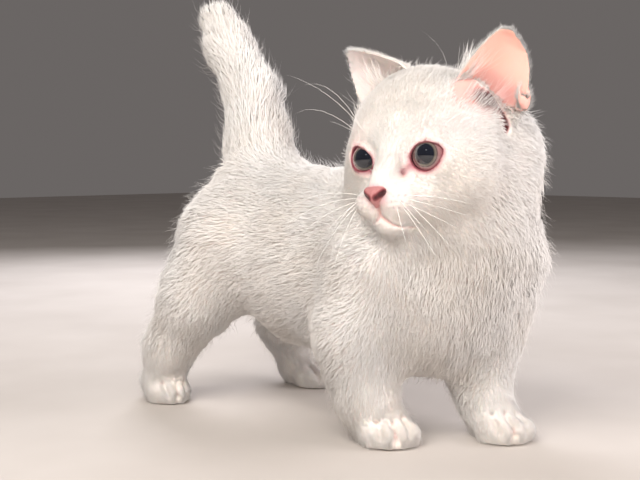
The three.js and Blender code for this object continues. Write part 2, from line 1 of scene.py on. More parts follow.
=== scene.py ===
# %% [markdown]
# # A short-legged kitten with a white plush coat, life size
# The model is a still one, as a museum shows it. The solids of the frame give the outline out to the tips of
# the coat. This lesson puts a skin a few millimetres inside them and grows the coat, eyes, nose leather and
# whiskers on it. Everything is in metres; lengths that a maker thinks of in millimetres are written times MM.

# %% Load the frame
import json
import math
from contextlib import contextmanager

import bpy
import numpy as np
from mathutils import Matrix, Vector
from mathutils.bvhtree import BVHTree
from mathutils.kdtree import KDTree

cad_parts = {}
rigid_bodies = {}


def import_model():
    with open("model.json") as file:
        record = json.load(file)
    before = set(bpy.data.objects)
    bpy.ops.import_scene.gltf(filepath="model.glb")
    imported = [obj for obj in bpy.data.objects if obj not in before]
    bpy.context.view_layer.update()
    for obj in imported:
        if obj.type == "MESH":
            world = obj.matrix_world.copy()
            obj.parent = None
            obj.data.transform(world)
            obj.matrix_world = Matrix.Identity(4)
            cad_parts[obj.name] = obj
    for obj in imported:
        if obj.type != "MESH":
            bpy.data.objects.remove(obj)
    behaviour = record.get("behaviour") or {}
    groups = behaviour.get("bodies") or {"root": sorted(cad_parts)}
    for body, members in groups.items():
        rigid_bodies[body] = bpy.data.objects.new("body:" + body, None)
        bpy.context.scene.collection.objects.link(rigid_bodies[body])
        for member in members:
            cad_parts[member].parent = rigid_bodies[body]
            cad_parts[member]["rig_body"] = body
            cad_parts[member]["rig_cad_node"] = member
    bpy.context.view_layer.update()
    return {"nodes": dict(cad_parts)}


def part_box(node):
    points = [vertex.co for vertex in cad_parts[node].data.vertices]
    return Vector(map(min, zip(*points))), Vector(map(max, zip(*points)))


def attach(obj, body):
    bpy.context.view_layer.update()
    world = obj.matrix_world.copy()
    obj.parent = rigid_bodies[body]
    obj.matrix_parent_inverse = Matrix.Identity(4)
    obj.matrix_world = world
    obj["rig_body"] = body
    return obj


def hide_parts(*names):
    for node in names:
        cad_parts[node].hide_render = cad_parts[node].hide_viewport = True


MM = 0.001
SEED = 41
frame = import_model()

# %% [markdown]
# The head is turned and tilted, so its parts are easiest to place in a frame of its own: x to the kitten's
# left, -y to the nose, z up. The two eyeballs of the frame give the place of that frame exactly, because
# their boxes are centred on the eyes.

# %% The head's own frame
HEAD_TURN = Matrix.Rotation(math.radians(-81), 4, "Z") @ Matrix.Rotation(math.radians(-3.5), 4, "Y")
EYE_IN_HEAD = np.array([16.0, -20.8, 0.0])  # the left eye's centre, millimetres
SIDES = {"right": -1, "left": 1}
EAR_ROOT = np.array([25, 11.3, 18])  # of the left ear, in the head's frame


def middle_of(node):
    low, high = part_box(node)
    return (low + high) / 2


eye_centres = {side: middle_of(f"eye_{side}") for side in SIDES}
between_eyes = (eye_centres["right"] + eye_centres["left"]) / 2
HEAD = Matrix.Translation(between_eyes - HEAD_TURN @ Vector((0, EYE_IN_HEAD[1] * MM, 0))) @ HEAD_TURN
head_rotation = np.array(HEAD_TURN.to_3x3())
head_origin = np.array(HEAD.translation)


def from_head(points):
    """Points of the head's frame in millimetres, as places in metres."""
    return np.atleast_2d(points) * MM @ head_rotation.T + head_origin


def to_head(places):
    """Places in metres, as points of the head's frame in millimetres."""
    return (places - head_origin) @ head_rotation / MM


print("head at", np.round(head_origin, 4), "left eye", np.round(to_head(np.array(eye_centres["left"])), 2))

# %% [markdown]
# The photograph was taken from the height of the eyes, a bit more than half a metre away. A camera that looks
# slightly down with a moderately long lens gives the same perspective.

# %% Camera
CAMERA_PLACE = (-0.41505, -0.40007, 0.135)
CAMERA_HEADING = -45  # degrees about the vertical
CAMERA_PITCH = 4.26  # degrees downwards
FOCAL_PIXELS = 1100
PICTURE_WIDTH = 640
SENSOR_WIDTH = 36

camera_data = bpy.data.cameras.new("camera")
camera_data.sensor_width = SENSOR_WIDTH
camera_data.lens = SENSOR_WIDTH * FOCAL_PIXELS / PICTURE_WIDTH
camera_data.clip_start = 0.01
camera = bpy.data.objects.new("camera", camera_data)
camera.rotation_euler = (math.radians(90 - CAMERA_PITCH), 0, math.radians(CAMERA_HEADING))
camera.location = CAMERA_PLACE
bpy.context.scene.collection.objects.link(camera)
bpy.context.scene.camera = camera
print("lens", round(camera_data.lens, 2), "mm")

# %% [markdown]
# A few helpers carry meshes in and out of arrays. Sculpting by arrays is the same work as moving points by
# hand with a soft brush, only repeatable.

# %% Helpers for meshes
def deselect():
    bpy.ops.object.select_all(action="DESELECT")


def make_active(thing):
    deselect()
    thing.select_set(True)
    bpy.context.view_layer.objects.active = thing


def link(thing):
    bpy.context.scene.collection.objects.link(thing)
    return thing


@contextmanager
def edit_mode(thing):
    """Edit mode with the whole mesh of the thing selected."""
    make_active(thing)
    bpy.ops.object.mode_set(mode="EDIT")
    bpy.ops.mesh.select_all(action="SELECT")
    yield
    bpy.ops.object.mode_set(mode="OBJECT")


def places_of(mesh, what="co"):
    flat = np.empty(len(mesh.vertices) * 3, np.float32)
    mesh.vertices.foreach_get(what, flat)
    return flat.reshape(-1, 3).astype(float)


def set_places(mesh, places):
    mesh.vertices.foreach_set("co", places.astype(np.float32).ravel())
    mesh.update()


def set_attribute(mesh, name, values):
    attribute = mesh.attributes.get(name) or mesh.attributes.new(name, "FLOAT", "POINT")
    attribute.data.foreach_set("value", np.asarray(values, np.float32))


def add_modifier(thing, kind, **settings):
    modifier = thing.modifiers.new(kind.lower(), kind)
    for name, value in settings.items():
        setattr(modifier, name, value)
    make_active(thing)
    bpy.ops.object.modifier_apply(modifier=modifier.name)


def copy_of(node):
    copy = frame["nodes"][node].copy()
    copy.data = copy.data.copy()
    copy.parent = None
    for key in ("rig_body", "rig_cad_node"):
        del copy[key]
    copy.hide_render = copy.hide_viewport = False
    return link(copy)


def join(things, name):
    deselect()
    for thing in things:
        thing.select_set(True)
    bpy.context.view_layer.objects.active = things[0]
    bpy.ops.object.join()
    things[0].name = things[0].data.name = name
    return things[0]


def merge_doubles(thing):
    with edit_mode(thing):
        bpy.ops.mesh.remove_doubles(threshold=0.01 * MM)
        bpy.ops.mesh.normals_make_consistent(inside=False)


def ease(value, low, high):
    """0 below low, 1 above high, and a smooth step between."""
    t = np.clip((value - low) / (high - low), 0, 1)
    return t * t * (3 - 2 * t)


def bell(distance, width, power=2):
    """1 at no distance, falling smoothly to 0 some widths away."""
    return np.exp(-((distance / width) ** power))


def unit(vectors):
    return vectors / np.maximum(np.linalg.norm(vectors, axis=-1, keepdims=True), 1e-12)


EAR_UP = unit(np.array([18, -7.5, 36.0]))  # along the left ear from its root


def waves(places, across, seed, count=12):
    """Smooth noise of about -1 to 1, whose bumps are about that many metres across."""
    random = np.random.default_rng(seed)
    ways = unit(random.normal(size=(count, 3))) * (math.pi / across * random.uniform(0.7, 1.4, (count, 1)))
    return np.sin(places @ ways.T + random.uniform(0, 2 * math.pi, count)).sum(1) / math.sqrt(count)


def near_line(places, line):
    """The distance from each place to a line of points, in the units of both."""
    nearest = np.full(len(places), 1e9)
    for start, end in zip(line[:-1], line[1:]):
        along = end - start
        t = np.clip(((places - start) @ along) / max(along @ along, 1e-12), 0, 1)
        nearest = np.minimum(nearest, np.linalg.norm(places - start - t[:, None] * along, axis=1))
    return nearest


print("helpers ready")

# %% [markdown]
# On the real kitten skin and coat are different things: the skin carries the form, and the coat stands less
# than 1 mm off it on the nose and nearly 6 mm on the tail. One skin is made from all the flesh of the frame.
# The thin gaps between the nodes are closed by swelling each node a little, and a voxel remesh fuses them.
# Balls fill the eye sockets, so that the skin has lids to cut open later.

# %% Fuse the flesh into one skin
FLESH = [
    "torso", "neck", "head", "tail_base", "tail_middle", "tail_tip", "fore_right", "fore_left", "hind_right",
    "hind_left", "fore_right_paw", "fore_left_paw", "hind_right_paw", "hind_left_paw",
]
SWELL = 0.3 * MM
VOXEL = 1.75 * MM
EYE_RADIUS = 8.6  # millimetres, as are the next two
LID_BALL = 10.2  # radius of the flesh over the eyeball, coat included
EAR_STUB = 9  # how much of each ear's root fills its slot in the head


def ear_stub(side):
    """The root of an ear, cut off just above the head."""
    stub = copy_of(f"ear_{side}")
    merge_doubles(stub)
    root, up = EAR_ROOT * [SIDES[side], 1, 1], EAR_UP * [SIDES[side], 1, 1]
    with edit_mode(stub):
        bpy.ops.mesh.bisect(
            plane_co=from_head(root + up * EAR_STUB)[0],
            plane_no=head_rotation @ up,
            use_fill=True,
            clear_outer=True,
        )
    return stub


parts = [copy_of(node) for node in FLESH + ["nose"]] + [ear_stub(side) for side in SIDES]
for side in SIDES:
    deselect()
    bpy.ops.mesh.primitive_uv_sphere_add(
        segments=48, ring_count=24, radius=LID_BALL * MM, location=eye_centres[side]
    )
    parts.append(bpy.context.active_object)
skin = join(parts, "skin")
skin.data.materials.clear()
merge_doubles(skin)
add_modifier(skin, "DISPLACE", strength=SWELL, mid_level=0)
add_modifier(skin, "REMESH", mode="VOXEL", voxel_size=VOXEL, use_smooth_shade=True)
print("fused skin", len(skin.data.polygons), "faces")

# %% [markdown]
# The facets of the solids are smoothed away. A smoothing brush would also melt the muzzle and the toes, so it
# works with a vertex group: full on the body, about a quarter on the face and a third on the paws.

# %% Smooth the skin, gently on face and paws
FACE_MIDDLE = np.array([0.0, -30.0, -10.0])
FACE_SIZE = [30, 22, 28]  # half the face's width, depth and height
WEIGHT_STEPS = 20


def softness_of(places):
    face = np.linalg.norm((to_head(places) - FACE_MIDDLE) / FACE_SIZE, axis=1)
    off_floor = ease(places[:, 2], 16 * MM, 30 * MM)
    return np.minimum(ease(face, 0.7, 1.4) * 0.75 + 0.25, off_floor * 0.7 + 0.3)


soft_group = skin.vertex_groups.new(name="soft")
soft_steps = np.clip(np.round(softness_of(places_of(skin.data)) * WEIGHT_STEPS), 0, WEIGHT_STEPS).astype(int)
for step in range(WEIGHT_STEPS + 1):
    soft_group.add(np.flatnonzero(soft_steps == step).tolist(), step / WEIGHT_STEPS, "REPLACE")
add_modifier(skin, "SMOOTH", factor=0.5, iterations=14, vertex_group="soft")
print("smoothed", len(soft_steps), "points")

# %% [markdown]
# A groomer combs a coat by region, and these tables do the same. Each row is a place on the coat, the way the
# hair lies there, how deep the coat is, how long the hair is and how far it stands up. Points in between take
# a blend of the nearest rows. Places are in millimetres; the head's rows are in its own frame, and each is
# mirrored to the other side.

# %% The grooming tables
# place, lie, coat depth and hair length in millimetres, lift in degrees
BODY_GROOMING = {
    "back": [
        ((0, -15, 133), (0, 1, 0), 4.2, 8.0, 24), ((0, 20, 134), (0, 1, 0.05), 4.2, 8.0, 26),
        ((25, -25, 128), (0.3, 1, -0.2), 4.4, 8.0, 26), ((-25, 20, 126), (-0.2, 1, -0.3), 4.4, 8.0, 26),
    ],
    "rump": [
        ((-28, 62, 122), (-0.3, 1, -0.5), 4.6, 8.5, 28), ((28, 62, 122), (0.3, 1, -0.5), 4.6, 8.5, 28),
        ((0, 95, 110), (0, 0.6, -0.9), 4.6, 9.0, 30), ((0, 98, 80), (0, 0.2, -1), 4.4, 8.5, 28),
    ],
    "right_side": [
        ((-47, -15, 92), (-0.05, 1, -0.25), 4.6, 8.0, 24), ((-46, 20, 88), (0, 1, -0.3), 4.6, 8.0, 24),
        ((-42, 12, 55), (0, 1, -0.35), 4.4, 8.0, 24),
    ],
    "left_side": [
        ((47, -15, 92), (0.05, 1, -0.25), 4.6, 8.0, 24), ((45, 20, 88), (0, 1, -0.3), 4.6, 8.0, 24),
        ((40, 12, 55), (0, 1, -0.35), 4.4, 8.0, 24),
    ],
    "belly": [
        ((0, -35, 30), (0, 1, 0), 4.0, 7.5, 22), ((0, 10, 32), (0, 1, 0), 4.0, 7.5, 22),
        ((0, 50, 50), (0, 1, 0.4), 4.0, 7.5, 22),
    ],
    "chest": [
        ((-10, -108, 85), (-0.1, -0.05, -1), 4.8, 9.5, 24), ((-8, -104, 60), (0, 0.1, -1), 4.8, 9.5, 26),
        ((18, -108, 88), (0.1, 0, -1), 4.8, 9.5, 24), ((-2, -88, 33), (0, 0.55, -0.8), 4.4, 8.5, 26),
        ((-32, -88, 88), (-0.2, 0.25, -1), 4.8, 8.5, 22),
    ],
    "neck": [
        ((45, -95, 125), (0.35, 0.1, -1), 4.6, 8.5, 26), ((54, -70, 118), (0.25, 0.4, -0.85), 4.6, 8.5, 26),
        ((40, -45, 140), (0.3, 0.8, -0.6), 4.4, 8.0, 26), ((10, -38, 135), (0, 1, -0.2), 4.2, 7.5, 24),
    ],
    "right_shoulder": [
        ((-46, -60, 100), (-0.1, 0.8, -0.55), 4.4, 7.5, 22),
        ((-55, -52, 75), (-0.05, 0.85, -0.5), 4.2, 7.5, 24),
    ],
    "left_shoulder": [
        ((52, -62, 90), (0.1, 0.6, -0.8), 4.4, 7.5, 24),
    ],
    "fore_right": [
        ((-57, -50, 52), (0, 0.75, -0.65), 3.4, 6.5, 24), ((-34, -73, 50), (-0.1, 0.15, -1), 3.2, 6.0, 20),
        ((-40, -36, 40), (0, 0.5, -0.9), 3.0, 6.5, 28), ((-36, -60, 28), (-0.05, 0.15, -1), 2.2, 4.0, 18),
    ],
    "fore_left": [
        ((53, -72, 55), (0.1, 0.45, -0.9), 3.4, 6.5, 22), ((30, -95, 52), (0, 0.05, -1), 3.2, 6.0, 20),
        ((28, -60, 38), (0, 0.5, -0.9), 3.0, 6.0, 24), ((24, -88, 28), (0, 0, -1), 2.2, 4.0, 18),
    ],
    "hind_right": [
        ((-60, 70, 78), (-0.05, 0.8, -0.65), 4.2, 8.0, 26), ((-56, 85, 52), (0, 0.6, -0.8), 3.6, 7.0, 26),
        ((-46, 106, 42), (0, 0.3, -1), 3.2, 7.0, 30), ((-48, 92, 25), (0, 0.05, -1), 2.0, 4.0, 18),
    ],
    "hind_left": [
        ((60, 60, 78), (0.05, 0.7, -0.75), 4.2, 8.0, 24), ((52, 70, 50), (0, 0.5, -0.85), 3.4, 6.5, 24),
        ((40, 100, 42), (0, 0.3, -1), 3.0, 6.5, 28), ((42, 80, 22), (0, -0.3, -1), 2.0, 4.0, 18),
    ],
    "fore_right_paw": [
        ((-33, -66, 16), (-0.5, -0.8, -0.4), 1.0, 2.6, 16),
    ],
    "fore_left_paw": [
        ((14, -98, 16), (-0.5, -0.8, -0.4), 1.0, 2.6, 16),
    ],
    "hind_right_paw": [
        ((-47, 86, 15), (-0.2, -0.9, -0.4), 1.0, 2.6, 16),
    ],
    "hind_left_paw": [
        ((39, 58, 14), (0, -0.9, -0.4), 1.0, 2.6, 16),
    ],
    "tail": [
        ((-20, 66, 148), (-0.1, 0.1, 1), 5.4, 10.0, 26), ((20, 66, 148), (0.1, 0.1, 1), 5.4, 10.0, 26),
        ((0, 86, 155), (0, 0.2, 1), 5.6, 10.5, 26), ((0, 48, 150), (0, -0.05, 1), 5.4, 9.5, 28),
        ((0, 68, 178), (0, 0.2, 1), 5.8, 10.5, 28), ((-4, 84, 200), (-0.1, 0.5, 0.9), 5.8, 10.5, 28),
        ((-6, 92, 222), (-0.1, 0.5, 0.9), 5.4, 10.0, 30),
    ],
}
HEAD_GROOMING = {
    "face": [
        ((0, -44, -11), (0, 0.35, 0.9), 0.6, 1.1, 16), ((0, -38, -2), (0, 0.4, 0.9), 0.8, 1.8, 16),
        ((0, -28, 14), (0, 0.5, 0.85), 1.1, 2.6, 20), ((5.5, -42.5, -13), (0.7, 0.5, -0.1), 0.6, 1.2, 16),
        ((8, -37, -8), (0.5, 0.6, 0.25), 0.8, 1.6, 16), ((14, -28.5, 12.5), (0.25, 0.5, 0.85), 1.0, 2.2, 20),
        ((26, -23, 8), (0.5, 0.8, 0.5), 1.0, 2.4, 18), ((28, -22, -6), (0.5, 0.85, -0.2), 1.0, 2.8, 18),
        ((16, -33, -12), (0.6, 0.7, -0.35), 0.8, 1.8, 16), ((9, -43, -20), (0.8, 0.5, -0.25), 0.6, 1.5, 16),
        ((15, -38, -22), (0.75, 0.6, -0.35), 0.8, 2.0, 18), ((5, -42, -27), (0.6, 0.5, -0.6), 0.6, 1.4, 16),
        ((0, -39, -34), (0, 0.3, -0.95), 0.8, 2.0, 18),
    ],
    "crown": [
        ((0, -18, 34), (0, 0.7, 0.7), 1.6, 4.0, 24), ((14, -10, 38), (0.15, 0.8, 0.5), 1.8, 4.2, 24),
        ((0, 5, 43), (0, 1, 0.1), 2.2, 5.5, 26), ((24, -14, 24), (0.3, 0.7, 0.6), 1.2, 3.4, 20),
    ],
    "nape": [
        ((0, 30, 32), (0, 0.7, -0.7), 3.2, 7.0, 26), ((20, 32, 12), (0.2, 0.6, -0.7), 3.4, 7.5, 26),
        ((0, 40, 8), (0, 0.4, -0.9), 3.8, 8.0, 26),
    ],
    "cheek": [
        ((34, -8, -4), (0.25, 0.9, -0.3), 1.8, 4.6, 20), ((30, -17, -18), (0.45, 0.8, -0.45), 1.6, 4.2, 20),
        ((24, -20, -30), (0.3, 0.6, -0.75), 1.8, 4.6, 20), ((36, 12, 2), (0.1, 0.9, -0.5), 2.8, 6.5, 24),
        ((33, 10, -20), (0.1, 0.7, -0.7), 3.0, 7.0, 24),
    ],
    "throat": [
        ((10, -16, -38), (0.1, 0.5, -0.85), 2.4, 6.0, 22),
    ],
}
rows = []
for region, table in BODY_GROOMING.items():
    rows += [(region, np.array(place) * MM, unit(np.array(lie, float)), *hair) for place, lie, *hair in table]
for region, table in HEAD_GROOMING.items():
    for (x, y, z), (u, v, w), *hair in table:
        for s in (1, -1) if x else (1,):
            lie = head_rotation @ unit(np.array([s * u, v, w], float))
            rows.append((region, from_head((s * x, y, z))[0], lie, *hair))
regions = sorted({row[0] for row in rows})
row_region = np.array([regions.index(row[0]) for row in rows])
row_place, row_lie = (np.array([row[i] for row in rows]) for i in (1, 2))
row_numbers = np.array([row[3:] for row in rows], float)
print(len(rows), "grooming rows in", len(regions), "regions")


AT_ONCE = 20000  # places groomed in one go, to save memory


def groom(places):
    """At each place the lie of the coat, its depth, length and lift, and the number of its region."""
    lies, numbers, nearest = [], [], []
    for part in np.array_split(places, len(places) // AT_ONCE + 1):
        away = ((part[:, None] - row_place[None]) ** 2).sum(2) / MM**2
        weight = 1 / (away + 12) ** 2.2
        weight /= weight.sum(1, keepdims=True)
        lies.append(weight @ row_lie)
        numbers.append(weight @ row_numbers)
        nearest.append(row_region[away.argmin(1)])
    return unit(np.concatenate(lies)), np.concatenate(numbers), np.concatenate(nearest)


# %% [markdown]
# The skin is drawn in by the depth of the coat, each point along its own normal. The soles stay on the floor.

# %% Draw the skin in by the coat's depth
SOLE = 0.6 * MM  # the skin of the pads stays this close to the floor
SOLE_HEIGHT = 4 * MM  # below this the skin is led to the sole


def draw_in():
    places = places_of(skin.data)
    depth = groom(places)[1][:, 0] * MM + SWELL
    moved = places - places_of(skin.data, "normal") * depth[:, None]
    low = ease(places[:, 2], 0.5 * MM, SOLE_HEIGHT)
    moved[:, 2] = np.where(places[:, 2] < SOLE_HEIGHT, moved[:, 2] * low + (1 - low) * SOLE, moved[:, 2])
    set_places(skin.data, moved)
    return depth


depths = draw_in()
add_modifier(skin, "SMOOTH", factor=0.5, iterations=3, vertex_group="soft")
print("coat depth", round(depths.min() / MM, 1), "to", round(depths.max() / MM, 1), "mm")

# %% [markdown]
# The mouth, the inner corners of the eyes and the gaps between the toes are narrower than the skin's faces.
# Those areas are subdivided in edit mode first, and then pressed in along lines, as a tool presses clay.

# %% Finer faces on muzzle and toes
PAWS = {  # heading in degrees, width, and x and y of the middle in millimetres
    "fore_right_paw": (-33, 32, -27.55, -56.35),
    "fore_left_paw": (-30, 32, 17.45, -89.35),
    "hind_right_paw": (-12, 27, -45.55, 94.65),
    "hind_left_paw": (0, 27, 39.45, 66.65),
}
MUZZLE_MIDDLE, MUZZLE_SIZE = [0, -41, -22], [19, 16, 14]
TOES_FORWARD, TOES_REACH = 12, 15  # the toes lie about this far before the paw's middle, millimetres


def paw_point(paw, side, forward, height):
    """A place at a paw, from millimetres to its left, forward of its middle and over the floor."""
    heading, _, x, y = PAWS[paw]
    turn = math.radians(heading)
    return np.array([
        x + side * math.cos(turn) + forward * math.sin(turn),
        y + side * math.sin(turn) - forward * math.cos(turn),
        height,
    ]) * MM


def subdivide_where(wanted):
    make_active(skin)
    bpy.ops.object.mode_set(mode="EDIT")
    bpy.ops.mesh.select_all(action="DESELECT")
    bpy.ops.object.mode_set(mode="OBJECT")
    centres = np.empty(len(skin.data.polygons) * 3, np.float32)
    skin.data.polygons.foreach_get("center", centres)
    skin.data.polygons.foreach_set("select", wanted(centres.reshape(-1, 3).astype(float)))
    bpy.ops.object.mode_set(mode="EDIT")
    bpy.ops.mesh.select_mode(type="FACE")
    bpy.ops.mesh.subdivide(number_cuts=1)
    bpy.ops.object.mode_set(mode="OBJECT")


def fine_areas(places):
    fine = np.linalg.norm((to_head(places) - MUZZLE_MIDDLE) / MUZZLE_SIZE, axis=1) < 1
    fine |= (corner_distance(places) < 4) | (canal_distance(places) < 5)
    for paw in PAWS:
        toes = paw_point(paw, 0, TOES_FORWARD, 6)
        fine |= np.linalg.norm(places - toes, axis=1) < TOES_REACH * MM
    return fine


print("fine faces are wanted on the muzzle, the eye corners, the ear canals and", len(PAWS), "paws")

# %% [markdown]
# The lines are given in the head's frame or a paw's. A distance is measured from each point of the skin to
# the nearest line, and how deep the point is pressed in follows from it.


# %% Press in the mouth and the toe gaps
MOUTH_LINES = [  # x, z in the head's frame
    [(0, -20.5), (-0.6, -23), (-1, -25.3)],
    [(-1, -25.3), (1.5, -27.6), (4, -29.5), (6.7, -31), (8, -31.4)],
    [(-1, -25.3), (-3, -27.5), (-5.5, -29)],
]
EYE_CORNERS = {  # from the opening to the inner corner of each eye, in the head's frame
    "right": [(-11.2, -28.2, -3.6), (-11.4, -27.8, -5.4)],
    "left": [(10.6, -29, -3.6), (8.9, -29.6, -5.4), (7.4, -30.8, -6.9)],
}
CANAL_LINE = np.array([(34.5, -1, 25), (34, 8, 22), (35.5, 11.5, 17), (36.3, 12.8, 12)])  # left ear
CANAL_RADII = (4.0, 2.4)  # at its upper and lower end
PAD_DOTS = [  # x, z of the whiskers' roots, left side
    (8.2, -17.3), (10.3, -17.1), (12.4, -17.2), (14.6, -17.6), (7.6, -19.7), (9.7, -19.6), (11.8, -19.9),
    (14, -20.4), (8.4, -22.2), (10.6, -22.4), (12.8, -22.9),
]
TOE_GAPS = (-1.02, 0, 1.02)  # in toe widths from the paw's middle
TOE_GAP_LINE = [(8, 13.5), (13, 11.5), (17, 8.5), (20, 4), (21, 0)]  # forward and height
FAR = 99  # a distance that counts as nowhere near


def mouth_distance(places):
    """How far each place is from the lines of the mouth, seen from the front, in millimetres."""
    points = to_head(places)
    flat = points * [1, 0, 1]
    lines = [np.array([(x, 0, z) for x, z in line]) for line in MOUTH_LINES]
    distance = np.minimum.reduce([near_line(flat, line) for line in lines])
    x = points[:, 0]
    fading = 1 + 0.3 * np.maximum(x - 2.5, 0) + 0.8 * np.maximum(-x - 1.5, 0)
    return np.where(points[:, 1] < -18, distance * fading, FAR)


def dot_distance(places):
    """How far each place is from the root of a whisker on the muzzle, in millimetres."""
    points = to_head(places)
    flat = np.stack([np.abs(points[:, 0]), points[:, 2]], 1)
    distance = np.linalg.norm(flat[:, None] - np.array(PAD_DOTS)[None], axis=2).min(1)
    return np.where(points[:, 1] < -30, distance, FAR)


def corner_distance(places):
    """How far each place is from the inner corners of the eyes, in millimetres."""
    points = to_head(places)
    return np.minimum.reduce([near_line(points, np.array(line)) for line in EYE_CORNERS.values()])


def canal_distance(places):
    """How far each place is from the ear canal of its side, in millimetres."""
    points = to_head(places)
    points[:, 0] = np.abs(points[:, 0])
    return near_line(points, CANAL_LINE)


def toe_gap_lines():
    for paw, (_, width, _, _) in PAWS.items():
        toe = width / 5.6 * 1.22
        for gap in TOE_GAPS:
            points = [paw_point(paw, gap * toe * (0.8 + f / 60), f, h) for f, h in TOE_GAP_LINE]
            yield np.array(points)


def toe_distance(places):
    """How far each place is from the gaps between the toes, in millimetres."""
    return np.minimum.reduce([near_line(places, line) for line in toe_gap_lines()]) / MM


subdivide_where(fine_areas)
skin_places = places_of(skin.data)
depths = 1.1 * bell(mouth_distance(skin_places), 1.1) + 1.9 * bell(toe_distance(skin_places), 1.5)
depths += 1.0 * bell(corner_distance(skin_places), 1.0)
set_places(skin.data, skin_places - places_of(skin.data, "normal") * depths[:, None] * MM)
print("skin", len(skin.data.polygons), "faces, pressed in up to", round(depths.max(), 2), "mm")

# %% [markdown]
# An ear is a thin cupped sheet of skin with a small pouch at its outer rim. The frame has its true shape,
# but in few facets, so a copy is remeshed finely, smoothed, and joined to the skin with a Boolean union.
# The same tool cuts the room of each eyeball, each eye opening with a cutter of its outline, and the
# groove of each ear canal with a row of balls.

# %% Ears on, eye openings cut
EAR_VOXEL = 0.62 * MM
OPENINGS = {  # outline of each eye opening in its frame: outwards and up from the middle, millimetres
    "left": [
        (8.1, 1.6), (6.7, 3.4), (3.8, 5.0), (-0.8, 5.7), (-5.2, 4.1), (-7.6, 0.4), (-7.1, -3.1),
        (-4.8, -5.8), (-1.3, -7.1), (3.2, -5.9), (6.6, -2.2),
    ],
    "right": [
        (6.3, 2.8), (5.6, 5.5), (2.8, 6.2), (-1.1, 5.0), (-4.6, 3.1), (-6.6, 0.9), (-6.9, -2.1),
        (-4.8, -4.7), (-0.5, -5.4), (3.6, -4.2), (5.9, -0.6),
    ],
}
CUTTER_RINGS = [(-1, 1.0), (-9, 1.0), (-14, 0.86), (-19, 0.5)]  # place along the gaze, scale of the outline
CUTTER_STEPS = 96
CANAL_BALLS = 9
EYE_TOE_OUT = 9  # degrees that each eye looks outwards
EYE_SLANT = 4  # degrees that the outer corner is raised


def eye_frame(side):
    """The eye's frame: x to the kitten's left, -y along the gaze, z up, at the eye's centre."""
    s = SIDES[side]
    turn = Matrix.Rotation(math.radians(s * EYE_TOE_OUT), 4, "Z") @ Matrix.Rotation(
        math.radians(-s * EYE_SLANT), 4, "Y"
    )
    return Matrix.Translation(eye_centres[side]) @ HEAD_TURN @ turn


def fine_ear(side):
    ear = copy_of(f"ear_{side}")
    merge_doubles(ear)
    add_modifier(ear, "REMESH", mode="VOXEL", voxel_size=EAR_VOXEL, use_smooth_shade=True)
    add_modifier(ear, "SMOOTH", factor=0.5, iterations=7)
    return ear


def boolean(thing, other, operation):
    add_modifier(thing, "BOOLEAN", operation=operation, object=other, solver="MANIFOLD")
    bpy.data.objects.remove(other)


def ball(radius, place, frame_matrix, segments=64):
    deselect()
    bpy.ops.mesh.primitive_uv_sphere_add(segments=segments, ring_count=segments // 2, radius=MM)
    made = bpy.context.active_object
    scaled = Matrix.Diagonal((radius, radius, radius, 1))
    made.data.transform(frame_matrix @ Matrix.Translation(Vector(place) * MM) @ scaled)
    return made


def opening_radius(side, angles):
    """From the middle of an eye opening to its edge, at angles from the outward direction."""
    table = np.array(OPENINGS[side])
    at = np.arctan2(table[:, 1], table[:, 0])
    fine = np.linspace(-math.pi, math.pi, 181)[:-1]
    edge = np.interp(fine, at, np.hypot(*table.T), period=2 * math.pi)
    for _ in range(12):
        edge = edge * 0.5 + (np.roll(edge, 1) + np.roll(edge, -1)) * 0.25
    return np.interp(angles, fine, edge, period=2 * math.pi)


def opening_outline(side, steps):
    """Points round an eye opening: x and z in the eye's frame, millimetres."""
    angles = np.arange(steps) * 2 * math.pi / steps
    edge = opening_radius(side, angles)
    return np.stack([SIDES[side] * edge * np.cos(angles), edge * np.sin(angles)], 1)


def mesh_thing(name, places, faces):
    """A new object of this mesh, with its faces turned outwards."""
    mesh = bpy.data.meshes.new(name)
    mesh.from_pydata(np.asarray(places).tolist(), [], faces)
    made = link(bpy.data.objects.new(name, mesh))
    with edit_mode(made):
        bpy.ops.mesh.normals_make_consistent(inside=False)
    return made


def band_faces(one, other, steps):
    """The four-sided faces between two rings of points, whose first points have these numbers."""
    following = [(k + 1) % steps for k in range(steps)]
    return [(one + k, one + following[k], other + following[k], other + k) for k in range(steps)]


def opening_cutter(side):
    x, z = opening_outline(side, CUTTER_STEPS).T
    rings = [np.stack([x * scale, np.full(CUTTER_STEPS, y), z * scale], 1) for y, scale in CUTTER_RINGS]
    frame_of_eye = np.array(eye_frame(side))
    places = np.concatenate(rings) * MM @ frame_of_eye[:3, :3].T + frame_of_eye[:3, 3]
    starts = [ring * CUTTER_STEPS for ring in range(len(rings))]
    faces = [tuple(range(low, low + CUTTER_STEPS)) for low in (starts[0], starts[-1])]
    for low, high in zip(starts[:-1], starts[1:]):
        faces += band_faces(low, high, CUTTER_STEPS)
    return mesh_thing("opening", places, faces)


def canal_balls(side):
    """The groove of the ear canal is cut by balls along its line, a little outside the skin."""
    shares = np.linspace(0, len(CANAL_LINE) - 1, CANAL_BALLS)
    for share, radius in zip(shares, np.linspace(*CANAL_RADII, CANAL_BALLS)):
        low = min(int(share), len(CANAL_LINE) - 2)
        x, y, z = CANAL_LINE[low] + (CANAL_LINE[low + 1] - CANAL_LINE[low]) * (share - low)
        yield radius, ((x + 1.2) * SIDES[side], y, z)


for side in SIDES:
    before = len(skin.data.polygons)
    boolean(skin, fine_ear(side), "UNION")
    frame_of_eye = eye_frame(side)
    boolean(skin, ball(EYE_RADIUS + 0.25, (0, 0, 0), frame_of_eye), "DIFFERENCE")
    boolean(skin, opening_cutter(side), "DIFFERENCE")
    for radius, place in canal_balls(side):
        boolean(skin, ball(radius, place, HEAD, 24), "DIFFERENCE")
    print(side, "ear and eye", before, "->", len(skin.data.polygons), "faces")

